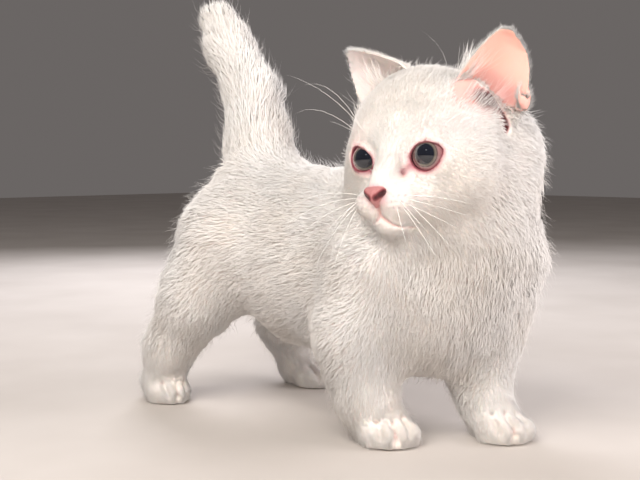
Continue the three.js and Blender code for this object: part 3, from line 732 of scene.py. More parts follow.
# %% [markdown]
# The skin gets a flat map of itself. The coat will use the same map: every tuft takes a small patch of it at
# its root, so that colours can be baked from both. A smart projection is enough, as no picture is painted.

# %% Unwrap the skin
UV_NAME = "OFBake"
while skin.data.uv_layers:
    skin.data.uv_layers.remove(skin.data.uv_layers[0])
skin.data.uv_layers.new(name=UV_NAME)
with edit_mode(skin):
    bpy.ops.uv.smart_project(angle_limit=math.radians(72), island_margin=0.002)
bpy.ops.object.shade_smooth()
print("skin", sum(len(f.vertices) - 2 for f in skin.data.polygons), "triangles")

# %% [markdown]
# A white cat has pink skin, and it shows where the hair is thin: round the eyes, on the lips, between the
# toes and inside the ears. Painted shade darkens the ear canals to near black, and the line of the mouth, the
# toe gaps and the whisker roots a little. These measures say how near a place is to each of those, in
# millimetres.

# %% Where the pink shows
EAR_BACK = unit(np.array([-0.64, 0.69, 0.335]))  # out of the back of the left ear, in the head's frame
SKULL_MIDDLE, SKULL_SIZE = [0, 5, 7.5], [38, 34.5, 36]
NOSE = np.array([0.0, -44.3, -16.6])
TEMPLE = np.array([(19, -27, 9), (27, -17, 15), (34, -5, 20)])  # where the hair is thin, left side
# the floor of the left ear's cup
CONCHA = np.array([(27, -8, 26), (25.5, -1, 32.5), (27, 9, 33.5), (32, 17, 27), (32.5, 2, 26)])


def eye_distance(places, side):
    """How far outside the edge of the eye opening a place is; negative inside it."""
    to_eye = np.array(eye_frame(side).inverted())
    points = (places @ to_eye[:3, :3].T + to_eye[:3, 3]) / MM
    x, y, z = points.T
    outwards = x * SIDES[side]
    distance = np.where(y < 2, np.hypot(x, z) - opening_radius(side, np.arctan2(z, outwards)), 30)
    return np.where(np.linalg.norm(points, axis=1) < EYE_RADIUS + 0.6, -1, distance), z


def measures(places, normals):
    """Distances and shares that colour the skin and hold the hair back."""
    head = to_head(places)
    mirror = np.ones_like(head)
    mirror[:, 0] = np.where(head[:, 0] < 0, -1, 1)
    mirrored = head * mirror
    facing = normals @ head_rotation
    back = (facing * (EAR_BACK * mirror)).sum(1)
    height = (mirrored - EAR_ROOT) @ EAR_UP
    skull = np.linalg.norm((head - SKULL_MIDDLE) / SKULL_SIZE, axis=1)
    on_ear = ease(skull, 1.02, 1.1) * ease(height, 3, 8) * (head[:, 2] > 14)
    on_ear *= np.linalg.norm(head, axis=1) < 85
    (right_eye, right_up), (left_eye, left_up) = eye_distance(places, "right"), eye_distance(places, "left")
    canal = canal_distance(places) * (1 + 0.6 * ease(head[:, 1], 13, 18) * (head[:, 2] < 17))
    canal *= 1.9 - 0.9 * ease(head[:, 2], 8, 13)
    concha = 1 - ease(near_line(mirrored, CONCHA), 4, 9)
    concha = concha * ease(-back, -0.55, -0.1) * ease(-facing[:, 1], 0.02, 0.2)
    return {
        "eye": np.minimum(right_eye, left_eye),
        "over_eye": ease(np.where(right_eye < left_eye, right_up, left_up), 0, 5),
        "dots": dot_distance(places),
        "corner": corner_distance(places),
        "nose": np.linalg.norm((head - NOSE) / [1.15, 1, 1], axis=1) - 4.6,
        "mouth": mouth_distance(places),
        "toes": toe_distance(places),
        "canal": canal,
        "concha": concha,
        "height": height,
        "temple": bell(near_line(mirrored, TEMPLE), 6.5),
        "ear": on_ear,
        "cup": np.maximum(on_ear * ease(-back, 0.05, 0.4), concha),
        "rim": on_ear * (np.abs(back) < 0.45),
        "left": head[:, 0] > 0,
        "head": head,
    }


def tint_of(m):
    """The colour of the bare skin, from its measures, with painted shade in the ear canals, mouth, toe gaps
    and whisker roots.
    """
    def blend(colour, other, share):
        return colour * (1 - share[:, None]) + np.array(other) * share[:, None]

    outside = np.maximum(m["eye"], 0)
    colour = np.tile([0.90, 0.83, 0.79], (len(m["eye"]), 1))
    for layer, share in (
        ([0.80, 0.55, 0.54], m["temple"] * 0.5),
        ([0.56, 0.29, 0.33], bell(outside, 2.0) * (0.8 - 0.45 * m["over_eye"])),
        ([0.20, 0.035, 0.05], np.exp(-outside / 0.45) * 0.85),
        ([0.42, 0.15, 0.19], bell(m["corner"], 2.5) * 0.9),
        ([0.10, 0.01, 0.02], bell(m["corner"], 1.2, 4) * 0.95),
        ([0.60, 0.32, 0.35], np.exp(-np.maximum(m["nose"], 0) / 2.2) * 0.75),
        ([0.70, 0.36, 0.34], bell(m["mouth"], 1.6) * 0.45),
        # painted shade in the crease of the mouth, darker than the lips' pink above
        ([0.48, 0.17, 0.16], bell(m["mouth"], 0.7) * 0.5),
        # the whisker roots: pink skin, darkened as painted shade in the follicles
        ([0.36, 0.22, 0.25], bell(m["dots"], 0.5) * 0.8),
        # the gaps between the toes: pink skin, darkened as painted shade in the creases
        ([0.50, 0.24, 0.20], bell(m["toes"], 0.9) * 0.7),
    ):
        colour = blend(colour, layer, share)
    cup = np.where(m["left"][:, None], [0.97, 0.57, 0.49], [0.97, 0.86, 0.85])
    low_cup = np.where(m["left"][:, None], [0.86, 0.46, 0.42], [0.96, 0.83, 0.82])
    cup = cup + (low_cup - cup) * (1 - ease(m["height"], 4, 24))[:, None]
    colour = colour * (1 - m["cup"][:, None]) + cup * m["cup"][:, None]
    colour = blend(colour, [0.74, 0.38, 0.36], m["concha"] * np.where(m["left"], 0.6, 0.15))
    # painted shade in the ear canals: dark red over the skin's own red, then near black deepest in; the left
    # ear's twice as strong as the right's
    canal_shade_weight = np.where(m["left"], 1, 0.5)
    colour = blend(colour, [0.38, 0.09, 0.09], bell(m["canal"], 8, 4) * 0.8 * canal_shade_weight)
    return blend(colour, [0.07, 0.006, 0.008], bell(m["canal"], 5.6, 6) * 0.97 * canal_shade_weight)


def set_tint(mesh, colours):
    attribute = mesh.attributes.get("tint") or mesh.attributes.new("tint", "FLOAT_COLOR", "POINT")
    rgba = np.concatenate([colours, np.ones((len(colours), 1))], 1)
    attribute.data.foreach_set("color", rgba.astype(np.float32).ravel())


skin_places, skin_normals = places_of(skin.data), places_of(skin.data, "normal")
skin_measures = measures(skin_places, skin_normals)
set_tint(skin.data, tint_of(skin_measures))
print("bare cup share", round(float(skin_measures["cup"].mean()), 3))

# %% [markdown]
# Now the roots of the hair. They are dealt evenly over the skin, more of them where the hair is short,
# because fine hair needs more tufts to cover the same skin. Eyes, nose leather and ear cups stay bare.

# %% Deal the roots
BODY_DENSITY = 7.7  # tufts per square millimetre times their length in millimetres
MOST_DENSE = 3.4  # tufts per square millimetre
SHORT_HAIR = 3.0  # millimetres; shorter tufts are single spikes
SPIKES = 2.6  # times as many tufts where they are single spikes
EAR_HAIR_LENGTH, EAR_HAIR_LIFT = 2.6, 16  # millimetres, degrees


def read(data, what, wide, kind):
    """A property of every item of the data, as rows of that many numbers."""
    flat = np.empty(len(data) * wide, kind)
    data.foreach_get(what, flat)
    return flat.reshape(-1, wide)


skin.data.calc_loop_triangles()
triangles = read(skin.data.loop_triangles, "vertices", 3, np.int32)
loops = read(skin.data.loop_triangles, "loops", 3, np.int32)
skin_uv = read(skin.data.uv_layers[UV_NAME].data, "uv", 2, np.float32).astype(float)
corners = skin_places[triangles]
centres = corners.mean(1)
crosses = np.cross(corners[:, 1] - corners[:, 0], corners[:, 2] - corners[:, 0])
areas = np.linalg.norm(crosses, axis=1) / 2


def ear_hair(m, numbers):
    """Hair on the back and rim of the ears is short and lies close."""
    share = m["ear"]
    numbers[:, 1] = numbers[:, 1] * (1 - share) + EAR_HAIR_LENGTH * share
    numbers[:, 2] = numbers[:, 2] * (1 - share) + EAR_HAIR_LIFT * share
    numbers[:, 1] *= 0.5 + 0.5 * ease(m["canal"], 4, 11)
    return numbers


def bare_share(m, places):
    """1 where hair grows in full, down to 0 where the skin is bare."""
    grows = ease(m["eye"], 0.4, 2.6 - 1.3 * m["over_eye"])
    dots = 0.35 + 0.65 * ease(m["dots"], 0.3, 0.8)
    grows *= ease(m["nose"], -0.9, 0.3) * ease(m["mouth"], 0.2, 1.1) * dots
    grows *= ease(m["toes"], 0.4, 1.0) * 0.6 + 0.4
    grows *= ease(m["corner"], 1.7, 3.4)
    grows *= 1 - ease(m["cup"], 0.25, 0.7) * np.where(m["left"], 1, 0.75)
    grows *= ease(m["canal"], 6, 8.5) * (1 - 0.35 * m["temple"])
    return grows * ease(places[:, 2], 0.9 * MM, 2.2 * MM)


face_measures = measures(centres, unit(crosses))
numbers = ear_hair(face_measures, groom(centres)[1])
density = np.minimum(BODY_DENSITY / np.maximum(numbers[:, 1], 0.5), MOST_DENSE)
density = density * bare_share(face_measures, centres) * np.where(numbers[:, 1] < SHORT_HAIR, SPIKES, 1)
expected = np.cumsum(areas / MM**2 * density)
random = np.random.default_rng(SEED)
count = int(expected[-1])
picks = np.minimum(np.searchsorted(expected, np.arange(count) + random.random(count)), len(areas) - 1)
share = random.random((count, 2))
share = np.where(share.sum(1, keepdims=True) > 1, 1 - share, share)
share = np.concatenate([1 - share.sum(1, keepdims=True), share], 1)
roots = (corners[picks] * share[..., None]).sum(1)
root_normals = unit((skin_normals[triangles[picks]] * share[..., None]).sum(1))
root_uv = (skin_uv[loops[picks]] * share[..., None]).sum(1)
print("skin area", round(areas.sum() / MM**2), "mm2,", count, "tufts")

# %% [markdown]
# Each tuft starts along its lie, rises a little and bends back towards the skin. Hair gathers in small locks:
# about one tuft in eleven leads, and the others lean their tips towards the nearest leader's tip. Slow waves
# turn the lie and the lift, which gives the soft ridges that a plush coat shows across its lie.

# %% Comb the tufts
LEADERS = 0.09  # share of the tufts
GATHER = 0.18  # how far tips lean to their leader's
SWIRL, STRAY = 0.11, 0.24  # how much waves and chance turn the lie
SUNK = 0.3 * MM


def comb(places, normals, seed):
    m = measures(places, normals)
    lies, numbers, region = groom(places)
    numbers = ear_hair(m, numbers)
    ear_ups = [head_rotation @ [s * 0.45, -0.2, 0.87] for s in (1, -1)]
    ear_up = np.where(m["left"][:, None], *ear_ups)
    lies = unit(lies * (1 - m["ear"][:, None]) + ear_up * m["ear"][:, None])
    for side in SIDES:
        away = unit(places - np.array(eye_centres[side]))
        near = np.exp(-np.maximum(eye_distance(places, side)[0], 0) / 2.5)
        lies = lies + away * near[:, None] * 1.2
    away = unit(places - from_head(NOSE + [0, 6, 0]))
    lies = lies + away * np.exp(-np.maximum(m["nose"], 0) / 2)[:, None] * 1.2
    swirl = np.stack([waves(places, 9 * MM, seed + i) for i in range(3)], 1)
    lies = lies + swirl * SWIRL
    lies = unit(lies - normals * (lies * normals).sum(1, keepdims=True))
    grain = np.random.default_rng(seed)
    side = unit(np.cross(normals, lies))
    lies = unit(lies + side * grain.normal(0, STRAY, (len(places), 1)))
    length = numbers[:, 1] * (1 + 0.12 * waves(places, 7 * MM, seed + 7))
    length = length * grain.uniform(0.75, 1.15, len(places))
    room = np.minimum.reduce([0.5 + 0.75 * m["eye"], 0.5 + 0.8 * m["mouth"], 0.8 + 0.8 * m["nose"]])
    length = np.minimum(length, np.maximum(room, 0.35)) * MM
    lift = numbers[:, 2] * (1 + 0.3 * waves(places, 8 * MM, seed + 9)) + grain.normal(0, 4, len(places))
    return m, lies, length, np.clip(np.radians(lift), math.radians(5), math.radians(60)), region


root_measures, root_lies, root_length, root_lift, root_region = comb(roots, root_normals, SEED)
flat_way = root_lies * np.cos(root_lift)[:, None]
up_way = root_normals * np.sin(root_lift)[:, None]
reach = root_length[:, None]
base = roots - root_normals * SUNK
free_way = flat_way * 1.02 + up_way * 0.82  # of a tip that leans to no leader
tips = roots + reach * free_way
leaders = np.sort(random.choice(count, int(count * LEADERS), replace=False))
tree = KDTree(len(leaders))
for i, leader in enumerate(leaders):
    tree.insert(roots[leader], i)
tree.balance()
follow = leaders[np.array([tree.find(place)[1] for place in roots])]
near_leader = np.linalg.norm(roots - roots[follow], axis=1) < root_length * 0.9
gather = (GATHER * near_leader * random.uniform(0.5, 1.3, count))[:, None]
tips = tips * (1 - gather) + tips[follow] * gather
bellies = roots + reach * (flat_way * 0.48 + up_way * 0.66)
bellies = bellies + (tips - roots - reach * free_way) * 0.4
print("leaders", len(leaders), "length", np.round([root_length.min() / MM, root_length.max() / MM], 1))

# %% [markdown]
# A tuft is a thin closed blade with three sides and a point. It has four faces where the hair is short and
# ten elsewhere, because there are well over a hundred thousand tufts. Its shading normals lean towards the
# skin's, so that the coat takes the light as one soft surface and not as single blades.

# %% The tuft builder
SECTION = np.array([[1.0, -0.3], [0.0, 0.75], [-1.0, -0.3]])  # across and up, in half widths
PATCH = 0.003  # of the flat map, across a tuft
SOFTNESS = 0.95  # how far the shading follows the skin


def tuft_faces(rings):
    faces = [(0, 1, 2)]
    for ring in range(rings - 1):
        for i in range(3):
            a, b = ring * 3 + i, ring * 3 + (i + 1) % 3
            faces += [(a, b + 3, b), (a, a + 3, b + 3)]
    last = (rings - 1) * 3
    return np.array(faces + [(last + i, last + 3, last + (i + 1) % 3) for i in range(3)])


def build_tufts(name, spines, ups, halves, uvs, tints, softness=SOFTNESS):
    """One mesh of tufts. spines: (tufts, rings + 1, 3), the last point being the tip; halves: half widths."""
    tufts, points = spines.shape[:2]
    rings = points - 1
    along = unit(np.diff(spines, axis=1))
    side = unit(np.cross(along[:, 0], ups))
    up = unit(np.cross(side, along[:, 0]))
    radial = side[:, None] * SECTION[:, :1] + up[:, None] * SECTION[:, 1:]
    shells = spines[:, :rings, None] + radial[:, None] * halves[:, :, None, None]
    places = np.concatenate([shells.reshape(tufts, -1, 3), spines[:, -1:]], 1)
    places[..., 2] = np.maximum(places[..., 2], 0.15 * MM)
    leaning = unit(ups[:, None] * softness + unit(radial) * (1 - softness))
    at_tip = unit(ups + along[:, -1] * 0.3)[:, None]
    normals = np.concatenate([np.tile(leaning, (1, rings, 1)), at_tip], 1)
    per_tuft = places.shape[1]
    indices = (tuft_faces(rings)[None] + np.arange(tufts)[:, None, None] * per_tuft).reshape(-1, 3)
    mesh = bpy.data.meshes.new(name)
    mesh.vertices.add(tufts * per_tuft)
    mesh.loops.add(indices.size)
    mesh.polygons.add(len(indices))
    mesh.vertices.foreach_set("co", places.astype(np.float32).ravel())
    mesh.loops.foreach_set("vertex_index", indices.astype(np.int32).ravel())
    mesh.polygons.foreach_set("loop_start", np.arange(0, indices.size, 3, dtype=np.int32))
    mesh.update(calc_edges=True)
    ring_at = np.repeat(np.arange(points), [3] * rings + [1]) / rings
    corner_at = np.concatenate([np.tile([-0.5, 0, 0.5], rings), [0]])
    patch = np.stack([corner_at * PATCH, (ring_at - 0.5) * PATCH], 1)
    uv = (uvs[:, None] + patch[None]).reshape(-1, 2)[indices.ravel()]
    mesh.uv_layers.new(name=UV_NAME).data.foreach_set("uv", uv.astype(np.float32).ravel())
    set_attribute(mesh, "along", np.tile(ring_at, tufts))
    set_tint(mesh, np.repeat(tints, per_tuft, axis=0))
    mesh.polygons.foreach_set("use_smooth", np.ones(len(indices), bool))
    mesh.normals_split_custom_set_from_vertices(normals.reshape(-1, 3))
    return link(bpy.data.objects.new(name, mesh))


print("faces of a tuft", [len(tuft_faces(rings)) for rings in (1, 2)])

# %% [markdown]
# White hair is nearly clear, so the skin under it lends it a breath of pink where the coat is thin, and by
# the whisker roots and toe gaps the skin's painted shade as well. The tint of each tuft comes from its root,
# with a little chance from tuft to tuft. Tufts are parted by region.

# %% Grow the coat
MOST_TUFTS = 19500  # in one piece
FEWEST_TUFTS = 20
HAIR_WHITE = np.array([0.95, 0.93, 0.915])


def hair_tints(m, tints, chance):
    """The tints of the hair over skin of those tints."""
    thin = 0.02 + 0.45 * np.exp(-np.maximum(m["eye"], 0) / 1.3)
    thin = thin + 0.35 * np.exp(-np.maximum(m["nose"], 0) / 2.5)
    # the hair by the toe gaps and whisker roots takes on their painted shade too
    thin += 0.3 * bell(m["toes"], 2) + 0.6 * bell(m["dots"], 0.8) + 0.15 * m["temple"]
    thin = np.clip(thin, 0, 0.7)[:, None]
    mixed = HAIR_WHITE * (1 - thin) + tints * thin
    return np.clip(mixed * (1 + chance.normal(0, 0.02, (len(thin), 1))), 0, 0.98)


hair_tint = hair_tints(root_measures, tint_of(root_measures), random)
half_width = (0.075 + 0.017 * root_length / MM) * random.uniform(0.8, 1.25, count) * MM
spike = numbers[picks, 1] < SHORT_HAIR
coat = []
for index, region in enumerate(regions):
    for kind, of_kind in (("", ~spike), ("_fine", spike)):
        chosen = np.flatnonzero((root_region == index) & of_kind)
        for n, part in enumerate(np.array_split(chosen, len(chosen) // MOST_TUFTS + 1)):
            if len(part) < FEWEST_TUFTS:
                continue
            line, narrowing = ([base, tips], [0.85]) if kind else ([base, bellies, tips], [1, 0.82])
            spines = np.stack([places[part] for places in line], 1)
            coat.append(build_tufts(
                f"coat_{region}{kind}_{n + 1}", spines, root_normals[part],
                half_width[part, None] * narrowing, root_uv[part], hair_tint[part],
            ))
print(len(coat), "coat pieces,", sum(len(piece.data.polygons) for piece in coat), "triangles")

# %% [markdown]
# Some longer, thinner hairs stand out of the coat. Against the background they make the kitten's soft edge.

# %% Guard hairs
GUARD_SHARE = 0.09
GUARD_HALF = 0.07  # millimetres


def guard_hairs():
    grain = np.random.default_rng(SEED + 5)
    m = root_measures
    shaggy = np.where(spike, 0.22, 1) * (m["ear"] < 0.3) * (m["toes"] > 4) * GUARD_SHARE
    shaggy = np.where(m["rim"] > 0.5, 0.5, shaggy)
    picked = np.flatnonzero(grain.random(count) < shaggy)
    length = (root_length[picked] * grain.uniform(1.1, 1.45, len(picked)) + 0.9 * MM)[:, None]
    length *= np.where(m["rim"][picked, None] > 0.5, 0.75, 1)
    lift = np.clip(root_lift[picked] + np.radians(grain.uniform(10, 34, len(picked))), 0, math.radians(66))
    flat = root_lies[picked] * np.cos(lift)[:, None]
    up = root_normals[picked] * np.sin(lift)[:, None]
    middle = roots[picked] + length * (flat * 0.45 + up * 0.6)
    end = roots[picked] + length * (flat * 1.05 + up * 0.85 + grain.normal(0, 0.06, (len(picked), 3)))
    spines = np.stack([base[picked], middle, end], 1)
    halves = np.full((len(picked), 2), GUARD_HALF * MM) * [1, 0.8]
    return build_tufts(
        "coat_guard_hairs", spines, root_normals[picked], halves, root_uv[picked], hair_tint[picked]
    )


coat.append(guard_hairs())
print("guard hairs", len(coat[-1].data.polygons) // 10)

# %% [markdown]
# A kitten's pupils are wide in soft light, so the iris is only a thin grey-olive ring. The eyeball is a
# fine ball whose front is drawn out a little, as the clear cornea is. Each point keeps its angle from the
# gaze, and a colour ramp paints pupil, iris and the pink white of the eye by that angle.

# %% Eyeballs
CORNEA_ANGLE = 50  # degrees from the gaze where the cornea's bulge ends
CORNEA_RISE = 0.9 * MM
GAZE = {"right": (20, 6), "left": (-1, 4)}  # degrees to the kitten's left, and up, from the opening's middle
eyes = []
for side in SIDES:
    forwards = eye_frame(side) @ Matrix.Rotation(math.radians(90), 4, "X")
    eye = ball(EYE_RADIUS - 0.1, (0, 0, 0), forwards, 96)
    eye.name = eye.data.name = f"eyeball_{side}"
    to_left, up = (math.radians(angle) for angle in GAZE[side])
    looking = eye_frame(side) @ Matrix.Rotation(to_left, 4, "Z") @ Matrix.Rotation(-up, 4, "X")
    gaze = -np.array(looking.to_3x3())[:, 1]
    centre = np.array(eye_centres[side])
    places = places_of(eye.data)
    outwards = unit(places - centre)
    angle = np.degrees(np.arccos(np.clip(outwards @ gaze, -1, 1)))
    rise = CORNEA_RISE * np.cos(np.radians(np.clip(angle / CORNEA_ANGLE, 0, 1) * 90)) ** 2
    set_places(eye.data, places + outwards * rise[:, None])
    set_attribute(eye.data, "gaze", angle)
    make_active(eye)
    bpy.ops.object.shade_smooth()
    eyes.append(eye)
print("eyes", [eye.name for eye in eyes])

# %% [markdown]
# The wet rim of the lids is a soft bead that follows the opening where skin and eyeball meet. A ray from the
# front finds the skin just outside the opening, and the bead is laid a little behind that point.

# %% Rims of the lids
RIM_STEPS = 72
RIM_RADIUS = 0.5 * MM
RIM_SIDES = 8
skin_tree = BVHTree.FromPolygons(
    skin_places.tolist(), [tuple(face) for face in triangles.tolist()], all_triangles=True
)


def closed_tube(name, points):
    """A mesh tube through a ring of points."""
    points = np.asarray(points, float)
    ways = unit(np.roll(points, -1, 0) - np.roll(points, 1, 0))
    side = unit(np.cross(ways, unit(points - points.mean(0))))
    up = np.cross(side, ways)
    turn = np.arange(RIM_SIDES) * 2 * math.pi / RIM_SIDES
    ring = side[:, None] * np.cos(turn)[:, None] + up[:, None] * np.sin(turn)[:, None]
    places = (points[:, None] + ring * RIM_RADIUS).reshape(-1, 3)
    faces = []
    for i in range(len(points)):
        faces += band_faces(i * RIM_SIDES, (i + 1) % len(points) * RIM_SIDES, RIM_SIDES)
    made = mesh_thing(name, places, faces)
    bpy.ops.object.shade_smooth()
    return made


def lid_edge(frame_of_eye, x, z):
    """How far forward the skin is just outside the opening at x, z millimetres, in the eye's frame."""
    way = frame_of_eye.to_3x3() @ Vector((0, 1, 0))
    for scale in (1.04, 1.08, 1.12, 1.18, 1.25):
        start = frame_of_eye @ (Vector((x * scale, -22, z * scale)) * MM)
        found = skin_tree.ray_cast(start, way)[0]
        if found is not None:
            place = frame_of_eye.inverted() @ found
            if place.y < -1.5 * MM:
                return place.y
    return -math.sqrt(max((EYE_RADIUS + 0.6) ** 2 - x * x - z * z, 9)) * MM


rims = []
for side in SIDES:
    frame_of_eye = eye_frame(side)
    outline = opening_outline(side, RIM_STEPS)
    depths = [lid_edge(frame_of_eye, x, z) + 0.45 * MM for x, z in outline]
    points = np.stack([outline[:, 0] * MM, depths, outline[:, 1] * MM], 1)
    for _ in range(2):
        points = points * 0.5 + (np.roll(points, 1, 0) + np.roll(points, -1, 0)) * 0.25
    world = [frame_of_eye @ Vector(point) for point in points]
    rims.append(closed_tube(f"lid_rim_{side}", world))
print("rims", [rim.name for rim in rims])

# %% [markdown]
# The nose leather is finely pebbled and always moist. The frame has its true form with the two nostrils, so a
# copy is remeshed at a quarter of a millimetre and smoothed. Each point keeps its distance from the comma of
# its nostril, and the material paints shade there, near black deep in the nostril.

# %% Nose leather
nose = copy_of("nose")
nose.name = nose.data.name = "nose_leather"
nose.data.materials.clear()
merge_doubles(nose)
add_modifier(nose, "DISPLACE", strength=0.12 * MM, mid_level=0)
add_modifier(nose, "REMESH", mode="VOXEL", voxel_size=0.26 * MM, use_smooth_shade=True)
add_modifier(nose, "SMOOTH", factor=0.5, iterations=5)
NOSTRILS = [[(s * 2.1, -46.6, -17.9), (s * 3.5, -46, -17.2), (s * 5.4, -44, -15.6)] for s in (-1, 1)]
nose_points = to_head(places_of(nose.data))
slit = np.minimum.reduce([near_line(nose_points, np.array(line)) for line in NOSTRILS])
set_attribute(nose.data, "slit", slit)
print("nose", len(nose.data.polygons), "faces")

# %% [markdown]
# Long fine hair stands inside each ear. It roots along the inner rim and the front edge and sweeps over the
# dark canal towards the outer rim. Whiskers are stiff and much thicker at the root; brow whiskers are finer.
# All of them are closed strands of the same tuft builder, with more rings and almost no width.

# %% Hair in the ears
EAR_HAIR_ROWS = [  # line of the roots, ways at its two ends, shortest and longest, how many on each side
    ([(17.5, 4, 21), (19, 1.8, 30), (23.5, 0.3, 40)],
     (0.80, -0.05, 0.45), (0.40, -0.25, 0.90), (9, 18), {"right": 70, "left": 190}),
    ([(26, -9, 24), (30.5, -6, 22), (34.5, -2, 18.5), (36.3, 3, 15.5)],
     (0.45, 0.60, 0.60), (0.45, 0.70, 0.55), (6, 11), {"right": 50, "left": 130}),
]
STRAND_RINGS = 8
STRAND_SOFTNESS = 0.55
STRANDS_FACE = (-0.6, -0.3, 0.75)  # the side of a strand that is lit


def strands(name, starts, ways, bends, lengths, halves, colour):
    """Curved strands: each leaves along ways and turns towards bends."""
    tints = np.tile(colour, (len(starts), 1))
    t = np.linspace(0, 1, STRAND_RINGS + 1)[None, :, None]
    curve = ways[:, None] * t + bends[:, None] * t * t
    spines = starts[:, None] + curve * lengths[:, None, None]
    ring_halves = halves[:, None] * np.linspace(1, 0.35, STRAND_RINGS)[None]
    ups = np.tile(unit(np.array(STRANDS_FACE)), (len(starts), 1))
    return build_tufts(
        name, spines, ups, ring_halves, np.full((len(starts), 2), 0.5), tints, STRAND_SOFTNESS
    )


def skin_near(places):
    """The nearest point of the skin for each place."""
    return np.array([skin_tree.find_nearest(Vector(place))[0] for place in places])


ear_hair_pieces = []
for side, s in SIDES.items():
    grain = np.random.default_rng(SEED + 100 + s)
    mirror = np.array([s, 1, 1])
    all_starts, all_ways, all_lengths = [], [], []
    for line, first_way, last_way, (shortest, longest), hairs in EAR_HAIR_ROWS:
        line = np.array(line, float)
        t = grain.random((hairs[side], 1))
        at = t[:, 0] * (len(line) - 1)
        guides = np.stack([np.interp(at, np.arange(len(line)), line[:, axis]) for axis in range(3)], 1)
        guides = guides + grain.normal(0, 1.2, guides.shape)
        ways = np.array(first_way) * (1 - t) + np.array(last_way) * t + grain.normal(0, 0.15, guides.shape)
        all_starts.append(guides * mirror)
        all_ways.append(unit(ways * mirror))
        all_lengths.append(grain.uniform(shortest, longest, len(t)) * MM * (1 - 0.35 * t[:, 0]))
    ways = np.concatenate(all_ways) @ head_rotation.T
    starts = skin_near(from_head(np.concatenate(all_starts)))
    hairs = len(starts)
    bends = (np.array([0.08, 0.12, 0.3]) * mirror) @ head_rotation.T + grain.normal(0, 0.08, (hairs, 3))
    ear_hair_pieces.append(strands(
        f"ear_hair_{side}", starts - ways * SUNK, ways, bends, np.concatenate(all_lengths),
        grain.uniform(0.06, 0.1, hairs) * MM, [0.97, 0.95, 0.94],
    ))
print("ear hairs", [len(piece.data.polygons) for piece in ear_hair_pieces])

# %% [markdown]
# Seven whiskers stand on each muzzle pad, and three or four long ones over each eye. Each is given in the
# head's frame in millimetres: its root, the way it sets off, and the bend that is added towards its tip.

# %% Whiskers
MUZZLE_WHISKERS = {
    "right": [
        ((-14, -37.5, -17), (-36, -12, 2), (-2, 3, -14)),
        ((-14, -37.5, -19), (-27, -10, -6), (-1, 3, -8)),
        ((-13, -38.5, -21), (-21, -8, -18), (-1, 3, -10)),
        ((-12, -39.5, -22), (-14, -4, -19), (-1, 4, -9)),
        ((-14.5, -36.5, -20), (-18, -2, -8), (0, 2, -5)),
        ((-11, -41.0, -19), (-11, -9, -9), (-1, 3, -6)),
        ((-12, -40.0, -15), (-24, -14, 8), (-3, 4, -9)),
    ],
    "left": [
        ((14, -37.5, -17), (20, 4, 1), (3, 13, -6)),
        ((14, -37.5, -19), (21, 3, -5), (1, 13, -4)),
        ((13, -38.5, -21), (20, -1, -7), (0, 11, -5)),
        ((12, -39.5, -22.5), (15, -4, -15), (0, 6, -8)),
        ((14.5, -36.5, -22), (15, 1, -14), (0, 8, -6)),
        ((11, -41.0, -19), (12, -7, -8), (1, 7, -6)),
        ((10, -42.0, -22), (6, -7, -11), (1, 3, -7)),
    ],
}
BROW_WHISKERS = {
    "right": [
        ((-14, -24.5, 11), (-36, -14, 84), (0, 0, -61)),
        ((-16, -23.5, 11), (-40, -23, 48), (9, 5, -35)),
        ((-13, -25.0, 11.5), (-30, -9, 45), (-6, -2, -15)),
        ((-17, -22.5, 10.5), (-19, -8, 17), (0, 4, -6)),
    ],
    "left": [
        ((18, -22.5, 12), (40, 12, 70), (-48, -10, -20)),
        ((15, -24.5, 11.5), (15, -8, 34), (8, 6, -14)),
        ((20, -20.5, 11.5), (18, -3, 22), (6, 6, -10)),
    ],
}
WHISKER_SUNK = 0.8 * MM
whisker_pieces = []
for name, sides, half in (("whiskers", MUZZLE_WHISKERS, 0.13), ("brow_whiskers", BROW_WHISKERS, 0.09)):
    for side, rows_of in sides.items():
        places, ways, bends = np.array(rows_of, float).transpose(1, 0, 2)
        ways, bends = ways @ head_rotation.T, bends @ head_rotation.T
        whisker_pieces.append(strands(
            f"{name}_{side}", skin_near(from_head(places)) - unit(ways) * WHISKER_SUNK, ways, bends,
            np.full(len(rows_of), MM), np.full(len(rows_of), half * MM), [0.96, 0.95, 0.93],
        ))
print("whiskers", len(whisker_pieces), "pieces")

# %% [markdown]
# The skin and the coat take their colour from the tint that each point carries. Skin gets a fine grain, hair
# gets painted shade towards its root, deep in the coat, and both have slow patches of cream under the white.

# %% Materials
def material(name, **inputs):
    made = bpy.data.materials.new(name)
    made.use_nodes = True
    shader = made.node_tree.nodes["Principled BSDF"]
    for key, value in inputs.items():
        shader.inputs[key.replace("_", " ")].default_value = value
    return made, made.node_tree.nodes, made.node_tree.links, shader


def ramp_of(nodes, links, value, stops):
    """The colours of these stops, picked by the value."""
    ramp = nodes.new("ShaderNodeValToRGB")
    elements = ramp.color_ramp.elements
    for element, (position, colour) in zip(elements, (stops[0], stops[-1])):
        element.position, element.color = position, (*colour, 1)
    for position, colour in stops[1:-1]:
        elements.new(position).color = (*colour, 1)
    links.new(value, ramp.inputs["Fac"])
    return ramp.outputs["Color"]


def attribute_of(nodes, name, output="Fac"):
    node = nodes.new("ShaderNodeAttribute")
    node.attribute_name = name
    return node.outputs[output]


def texture_of(nodes, links, kind, scale):
    """A texture over the object's own coordinates."""
    texture = nodes.new(kind)
    texture.inputs["Scale"].default_value = scale
    links.new(nodes.new("ShaderNodeTexCoord").outputs["Object"], texture.inputs["Vector"])
    return texture


def noise_of(nodes, links, scale):
    noise = texture_of(nodes, links, "ShaderNodeTexNoise", scale)
    noise.inputs["Detail"].default_value = 3
    return noise.outputs["Fac"]


